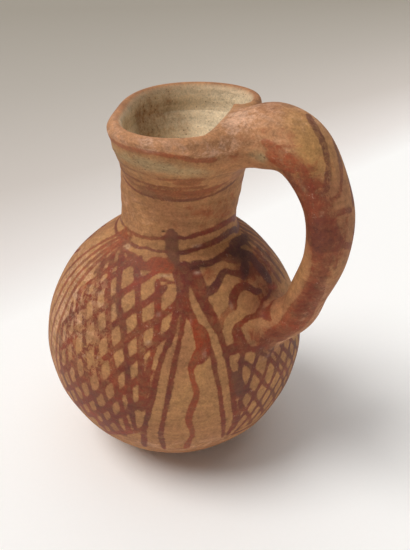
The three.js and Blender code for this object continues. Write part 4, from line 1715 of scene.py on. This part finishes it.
@dataclass
class ClayPiece:
    """One piece of the pitcher that stands in for a node of the frame."""

    node: str
    slot: Slot
    sharp: float = 50.0

    def finish(
        self, shape: bmesh.types.BMesh, readings: dict[str, np.ndarray], material: bpy.types.Material
    ) -> bpy.types.Object:
        """Turn a shape in millimetres into the piece, with its readings, finish and place.

        Args:
            shape: The mesh in millimetres.
            readings: Numbers for each point by the name that the material reads.
            material: The finish.

        Returns:
            The piece.
        """
        mesh = bpy.data.meshes.new(self.node + "_clay")
        bmesh.ops.recalc_face_normals(shape, faces=shape.faces)
        shape.to_mesh(mesh)
        shape.free()
        mesh.transform(Matrix.Scale(MM, 4))
        for name, values in readings.items():
            layer = mesh.attributes.new(name, "FLOAT", "POINT")
            layer.data.foreach_set("value", np.asarray(values, np.float32))
        mesh.shade_smooth()
        mesh.set_sharp_from_angle(angle=math.radians(self.sharp))
        mesh.materials.append(material)
        piece = bpy.data.objects.new(self.node + "_clay", mesh)
        bpy.context.scene.collection.objects.link(piece)
        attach(piece, "root")
        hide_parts(self.node)
        LOG.info("%s: %d faces", piece.name, len(mesh.polygons))
        return piece


def coordinates(shape: bmesh.types.BMesh) -> np.ndarray:
    """The places of a shape's points."""
    return np.array([vert.co[:] for vert in shape.verts], float)


def replace(shape: bmesh.types.BMesh, places: np.ndarray) -> None:
    """Move a shape's points to other places."""
    for vert, spot in zip(shape.verts, places):
        vert.co = spot


@dataclass
class Vessel:
    """The foot, bowl, shoulder, neck and lip."""

    form: VesselForm
    dressing: Dressing
    ware: bpy.types.Material
    around: int = 420
    row: float = 0.8
    slip: float = 0.3

    def rows(
        self, wall: Callable[[float], float], start: float, end: float, row: float
    ) -> list[tuple[float, float]]:
        """Points up or down a wall, closer together near both of its ends.

        Args:
            wall: Gives the radius at a height.
            start: First height.
            end: Last height.
            row: Distance between points.

        Returns:
            The points by radius and height.
        """
        heights = np.linspace(start, end, 120)
        radii = np.array([float(wall(h)) for h in heights])
        steps = np.hypot(np.diff(radii), np.diff(heights))
        along = np.concatenate([[0.0], np.cumsum(steps)])
        count = max(int(along[-1] / row), 2)
        cuts = np.linspace(0.0, along[-1], count + 1)
        edge = min(0.3, row * 0.4)
        cuts = np.sort(np.concatenate([cuts, [edge, along[-1] - edge]]))
        return [(float(wall(h)), float(h)) for h in np.interp(cuts, along, heights)]

    def turned(self, outline: list[tuple[float, float]]) -> bmesh.types.BMesh:
        """Turn a closed outline round the axis and form it by hand.

        Args:
            outline: Points by radius and height.

        Returns:
            The shape in millimetres.
        """
        shape = bmesh.new()
        points = [shape.verts.new((radius, 0.0, height)) for radius, height in outline]
        pairs = list(zip(points, points[1:]))
        if outline[0][0] > 0.01:
            pairs.append((points[-1], points[0]))
        edges = [shape.edges.new(pair) for pair in pairs]
        bmesh.ops.spin(
            shape,
            geom=points + edges,
            cent=(0.0, 0.0, 0.0),
            axis=(0.0, 0.0, 1.0),
            dvec=(0.0, 0.0, 0.0),
            angle=2.0 * math.pi,
            steps=self.around,
            use_merge=True,
            use_duplicate=False,
        )
        bmesh.ops.remove_doubles(shape, verts=shape.verts, dist=1e-4)
        return shape

    def readings(self, flat: np.ndarray, formed: np.ndarray) -> dict[str, np.ndarray]:
        """Numbers that the finish reads, for points of the vessel.

        Args:
            flat: The points before the hand-forming.
            formed: The points after it.

        Returns:
            Numbers by name.
        """
        numbers = self.dressing.body.measure(formed)
        numbers.update(self.dressing.marks(formed))
        numbers.update(self.dressing.tints(flat))
        return numbers

    def build(self, piece: ClayPiece, outline: list[tuple[float, float]]) -> None:
        """Make one piece of the vessel.

        Args:
            piece: Which piece.
            outline: Its outline by radius and height.
        """
        shape = self.turned(outline)
        flat = coordinates(shape)
        formed = self.form.formed(flat)
        replace(shape, formed)
        piece.finish(shape, self.readings(flat, formed), self.ware)

    def floor_pad(self) -> None:
        """The foot and floor."""
        form = self.form
        plug = float(form.body_wall(form.floor, form.wall))
        outline = [(0.0, 0.0), (form.foot_radius * 0.5, 0.0), (form.foot_radius * 0.9, 0.0)]
        edge = float(form.body_wall(form.foot_rounding))
        corner = [
            (form.foot_radius, 0.0),
            (blend(form.foot_radius, edge, 0.45), 0.14),
            (blend(form.foot_radius, edge, 0.8), 0.75),
            (edge, form.foot_rounding),
        ]
        outline += [tuple(p) for p in curve_through(np.array(corner), 0.5)]
        outline += self.rows(form.body_wall, form.foot_rounding, form.pad_joint, 0.7)[1:]
        outline += [(plug, form.pad_joint), (plug, form.floor), (0.0, form.floor)]
        self.build(ClayPiece("floor_pad", Slot.BODY), outline)

    def lower_bowl(self) -> None:
        """The lower half of the body."""
        form = self.form
        seat = float(form.body_wall(form.floor, form.wall)) + self.slip
        tongue = form.belly_radius - form.wall / 2.0 - self.slip / 2.0
        low = form.belly_height - form.lap
        top = form.belly_height + form.lap
        outline = [(seat, form.pad_joint)]
        outline += self.rows(form.body_wall, form.pad_joint, low, self.row)
        outline += [(tongue, low + self.slip / 2.0), (tongue, top)]
        outline += self.rows(form.body_inside, top, form.bowl_height(seat, form.wall), 3.0)
        self.build(ClayPiece("lower_bowl", Slot.BODY), outline)

    def shoulder_dome(self) -> None:
        """The upper half of the body."""
        form = self.form
        skirt = form.belly_radius - form.wall / 2.0 + self.slip / 2.0
        hole = form.neck_radius - form.wall / 2.0 + self.slip
        low = form.belly_height - form.lap
        seat = form.belly_height + form.lap + self.slip
        outline = [(skirt, low)]
        outline += self.rows(form.body_wall, low, form.neck_foot, self.row)
        outline += [(hole, form.neck_foot)]
        outline += self.rows(form.body_inside, form.shoulder_height(hole, form.wall), seat, 2.0)
        outline += [(skirt, seat)]
        self.build(ClayPiece("shoulder_dome", Slot.BODY), outline)

    def neck_collar(self) -> None:
        """The neck."""
        form = self.form
        tongue = form.neck_radius - form.wall / 2.0
        bottom = form.shoulder_height(tongue + self.slip, form.wall)
        lap = float(form.neck_wall(form.lip_foot)) - form.wall / 3.0
        outline = [(tongue, bottom), (tongue, form.neck_foot)]
        outline += self.rows(form.neck_wall, form.neck_foot, form.lip_foot, 0.5)
        outline += [(lap, form.lip_foot), (lap, form.lip_foot + form.lap)]
        outline += self.rows(form.neck_inside, form.lip_foot + form.lap, bottom, 0.9)
        self.build(ClayPiece("neck_collar", Slot.BODY), outline)

    def lip_roll(self) -> None:
        """The lip."""
        form = self.form
        lap = float(form.neck_wall(form.lip_foot)) - form.wall / 3.0 + self.slip
        outer, inner = form.lip_outline()
        outline = [(lap, form.lip_foot)] + outer + inner + [(lap, form.lip_foot + form.lap)]
        self.build(ClayPiece("lip_roll", Slot.LIP), outline)


@dataclass
class Handle:
    """The handle's roll and the clay that is worked round its two ends."""

    skin: BlendedSkin
    dressing: Dressing
    ware: bpy.types.Material
    length: float = 118.0
    row: float = 0.6
    hidden: Route = ((0.0, 0.25), (0.04, 1.2), (0.25, 2.0), (0.6, 2.0), (0.9, 2.0))
    foot_fade: tuple[float, float] = (4.5, 8.0)
    root_fade: tuple[float, float] = (1.4, 3.6)
    lip_fade: tuple[float, float] = (4.0, 0.5)
    lap: float = 0.04

    def tube(self, rows: np.ndarray) -> bmesh.types.BMesh:
        """Wrap a grid round rows of points and close its ends.

        Args:
            rows: Points by row along and by column round, in millimetres.

        Returns:
            The shape in millimetres.
        """
        first = np.broadcast_to(rows[0].mean(0), rows[:1].shape)
        last = np.broadcast_to(rows[-1].mean(0), rows[:1].shape)
        rows = np.concatenate([first, rows, last])
        along, around = rows.shape[:2]
        shape = bmesh.new()
        bmesh.ops.create_grid(shape, x_segments=around, y_segments=along - 1, size=1.0)
        grid = coordinates(shape)
        column = np.rint((grid[:, 0] + 1.0) / 2.0 * around).astype(int) % around
        row = np.rint((grid[:, 1] + 1.0) / 2.0 * (along - 1)).astype(int)
        replace(shape, rows[row, column])
        bmesh.ops.remove_doubles(shape, verts=shape.verts, dist=1e-4)
        bmesh.ops.dissolve_degenerate(shape, edges=shape.edges, dist=1e-5)
        return shape

    def readings(self, points: np.ndarray) -> dict[str, np.ndarray]:
        """Numbers that the finish reads, for points of the handle.

        Args:
            points: Rows of x, y and z in millimetres.

        Returns:
            Numbers by name.
        """
        form = self.skin.vessel
        _, share, turn = self._near(points)
        wall = np.concatenate([self.skin.vessel_gap(part) for part in np.array_split(points, 12)])
        before = form.unformed(points)
        under = form.outside(np.degrees(np.arctan2(before[:, 1], before[:, 0])), before[:, 2])
        at_foot = share > 0.5
        fade = np.where(at_foot, smooth(wall, *self.foot_fade), smooth(wall, *self.root_fade))
        seen = np.where((at_foot | (wall < self.lip_fade[0]))[:, None], under, points)
        tints = self.dressing.tints(before)
        seen = np.where((tints["inside"] > 0.5)[:, None], points, seen)
        body = self.dressing.body.measure(seen)
        painted = Brushwork(self._on_skin, list(HANDLE_STROKES), 0.6).measure(points)
        edge_body = body["paint_edge"] + 3.0 * fade
        closer = edge_body < painted["paint_edge"]
        numbers = {"paint_edge": np.minimum(edge_body, painted["paint_edge"])}
        for name in ("paint_tone", "paint_load"):
            numbers[name] = np.where(closer, body[name], painted[name])
        numbers.update(self.dressing.marks(points))
        near = np.where(at_foot, 0.0, smooth(wall, *self.lip_fade))
        for name, patches in RUBS.items():
            own = tints.get(name, np.zeros(len(points))) * near
            rub = rubs_at(share * 100.0, turn, patches) * (1.0 - near * 0.8) + own
            numbers[name] = np.clip(numbers.get(name, 0.0) + rub, 0.0, 1.0)
        numbers["inside"] = tints["inside"] * (share < 0.3)
        numbers["stain"] = tints["stain"]
        numbers["slip"] *= 1.0 - numbers["inside"]
        return numbers

    def _on_skin(self, turns: np.ndarray, hundredths: np.ndarray) -> np.ndarray:
        """Points on the roll by degrees round it and hundredths of its length."""
        return self.skin.handle.skin(hundredths / 100.0, turns)

    def _near(self, points: np.ndarray) -> tuple[np.ndarray, np.ndarray, np.ndarray]:
        """Distance, share and turn against the handle, worked out in batches."""
        found = [self.skin.handle.gap(part) for part in np.array_split(points, 24)]
        return tuple(np.concatenate([item[i] for item in found]) for i in range(3))

    def middle(self, root: np.ndarray, foot: np.ndarray) -> np.ndarray:
        """Rows along the free part of the handle, from the root's first ring to the foot's.

        Args:
            root: The walk onto the lip.
            foot: The walk onto the shoulder.

        Returns:
            Points by row along and by column round.
        """
        around = self.skin.around
        turns = np.linspace(-180.0, 180.0, around, endpoint=False)
        start = self._near(root[0])[1]
        end = self._near(foot[0])[1]
        count = int(self.length / self.row)
        rows = [root[0]]
        for share in np.linspace(0.0, 1.0, count)[1:-1]:
            rows.append(self.skin.handle.skin(start + (end - start) * share, turns))
        rows.append(foot[0])
        return np.array(rows)

    def thickened(self, rows: np.ndarray, amount: float) -> np.ndarray:
        """Move rings outward from their middles by an amount in millimetres."""
        off = rows - rows.mean(1, keepdims=True)
        return rows + off / np.linalg.norm(off, axis=2, keepdims=True) * amount

    def plug(self, walk: np.ndarray) -> np.ndarray:
        """Rows that close a walk under the vessel's face, inside the wall.

        Args:
            walk: Points by row along the walk and by column round.

        Returns:
            The walk with its hidden rows added.
        """
        last = walk[-1]
        middle = last.mean(0)
        rows = list(walk)
        for share, depth in self.hidden:
            rows.append(self.skin.into_wall(last + (middle - last) * share, depth))
        return np.array(rows)

    def build(self) -> None:
        """Make the three pieces of the handle."""
        root = self.skin.run_out(Junction.ROOT)
        foot = self.skin.run_out(Junction.FOOT)
        roll = self.middle(root, foot)
        under_root = self.thickened(root[3:0:-1], -self.lap)
        under_foot = self.thickened(foot[1:4], -self.lap)
        over_root = self.thickened(roll[3:0:-1], self.lap / 2.0)
        over_foot = self.thickened(roll[-4:-1], self.lap / 2.0)
        pieces = (
            (ClayPiece("handle_roll", Slot.HANDLE), np.concatenate([under_root, roll, under_foot])),
            (ClayPiece("handle_saddle", Slot.LUTING), self.plug(np.concatenate([over_root, root]))),
            (ClayPiece("foot_luting", Slot.LUTING), self.plug(np.concatenate([over_foot, foot]))),
        )
        for piece, rows in pieces:
            shape = self.tube(rows)
            piece.finish(shape, self.readings(coordinates(shape)), self.ware)


@dataclass(frozen=True)
class Lamp:
    """Soft light from far away: its bearing from +X, its rise, its width and its strength."""

    name: str
    bearing: float
    rise: float
    spread: float
    power: float

    def shine(self) -> None:
        """Put the lamp in the scene."""
        data = bpy.data.lights.new(self.name, "SUN")
        data.angle = math.radians(self.spread)
        data.energy = self.power
        lamp = bpy.data.objects.new(self.name, data)
        lamp.rotation_euler = (0.0, math.radians(90.0 - self.rise), math.radians(self.bearing))
        bpy.context.scene.collection.objects.link(lamp)


@dataclass(frozen=True)
class Studio:
    """The pale sheet, the lamps and the camera of the photograph; the sheet's sizes are in metres."""

    lamps: tuple[Lamp, ...] = (
        Lamp("window", -129.0, 58.0, 33.0, 2.0),
        Lamp("ceiling", 158.0, 68.0, 100.0, 1.08),
    )
    room_light: float = 0.12
    sheet_half: float = 9.0
    turned_from: float = 8.0
    turned_up: float = 2.2
    sensor: float = 36.0
    lens: float = 36.39
    distance: float = 233.12
    elevation: float = 33.2267
    heading: float = -50.5
    aim_right: float = 0.052378
    aim_up: float = 0.0720807
    centre: float = 51.0

    def camera(self) -> None:
        """Stand the camera where the photograph was taken from."""
        heading = math.radians(self.heading)
        rise = math.radians(self.elevation)
        level = Vector((math.cos(heading), math.sin(heading), 0.0))
        out = level * math.cos(rise) + Vector((0.0, 0.0, math.sin(rise)))
        right = Vector((-math.sin(heading), math.cos(heading), 0.0))
        up = out.cross(right)
        look = (-out + self.aim_right * right + self.aim_up * up).normalized()
        right = look.cross(up).normalized()
        up = right.cross(look)
        data = bpy.data.cameras.new("camera")
        data.lens = self.lens
        data.sensor_width = self.sensor
        data.clip_start = 0.01
        data.clip_end = 20.0
        camera = bpy.data.objects.new("camera", data)
        place = (Vector((0.0, 0.0, self.centre)) + out * self.distance) * MM
        turn = Matrix((right, up, -look)).transposed().to_4x4()
        camera.matrix_world = Matrix.Translation(place) @ turn
        bpy.context.scene.collection.objects.link(camera)
        bpy.context.scene.camera = camera

    def sheet(self) -> None:
        """Lay the pale sheet, with its far edges turned up behind the pitcher."""
        shape = bmesh.new()
        bmesh.ops.create_grid(shape, x_segments=4, y_segments=4, size=self.sheet_half)
        for vert in shape.verts:
            if max(abs(vert.co.x), abs(vert.co.y)) > self.turned_from:
                vert.co.z = self.turned_up
        mesh = bpy.data.meshes.new("sheet")
        shape.to_mesh(mesh)
        shape.free()
        mesh.materials.append(SheetPaper().make("pale sheet"))
        sheet = bpy.data.objects.new("sheet", mesh)
        bpy.context.scene.collection.objects.link(sheet)

    def light(self) -> None:
        """Light the pitcher softly from the upper left and behind."""
        world = bpy.data.worlds.new("room")
        world.use_nodes = True
        bpy.context.scene.world = world
        background = world.node_tree.nodes["Background"]
        background.inputs[0].default_value = linear("ffffff")
        background.inputs[1].default_value = self.room_light
        for lamp in self.lamps:
            lamp.shine()


def main() -> None:
    logging.basicConfig(level=logging.INFO, format="%(message)s")
    scene = bpy.context.scene
    scene.view_settings.view_transform = "Standard"
    form = VesselForm()
    dressing = Dressing(form)
    ware = PaintedWare().make("painted ware")
    studio = Studio()
    studio.camera()
    studio.light()
    studio.sheet()
    vessel = Vessel(form, dressing, ware)
    vessel.floor_pad()
    vessel.lower_bowl()
    vessel.shoulder_dome()
    vessel.neck_collar()
    vessel.lip_roll()
    handle = Handle(BlendedSkin(form, HandleForm(form)), dressing, ware)
    handle.build()


if __name__ == "__main__":
    main()
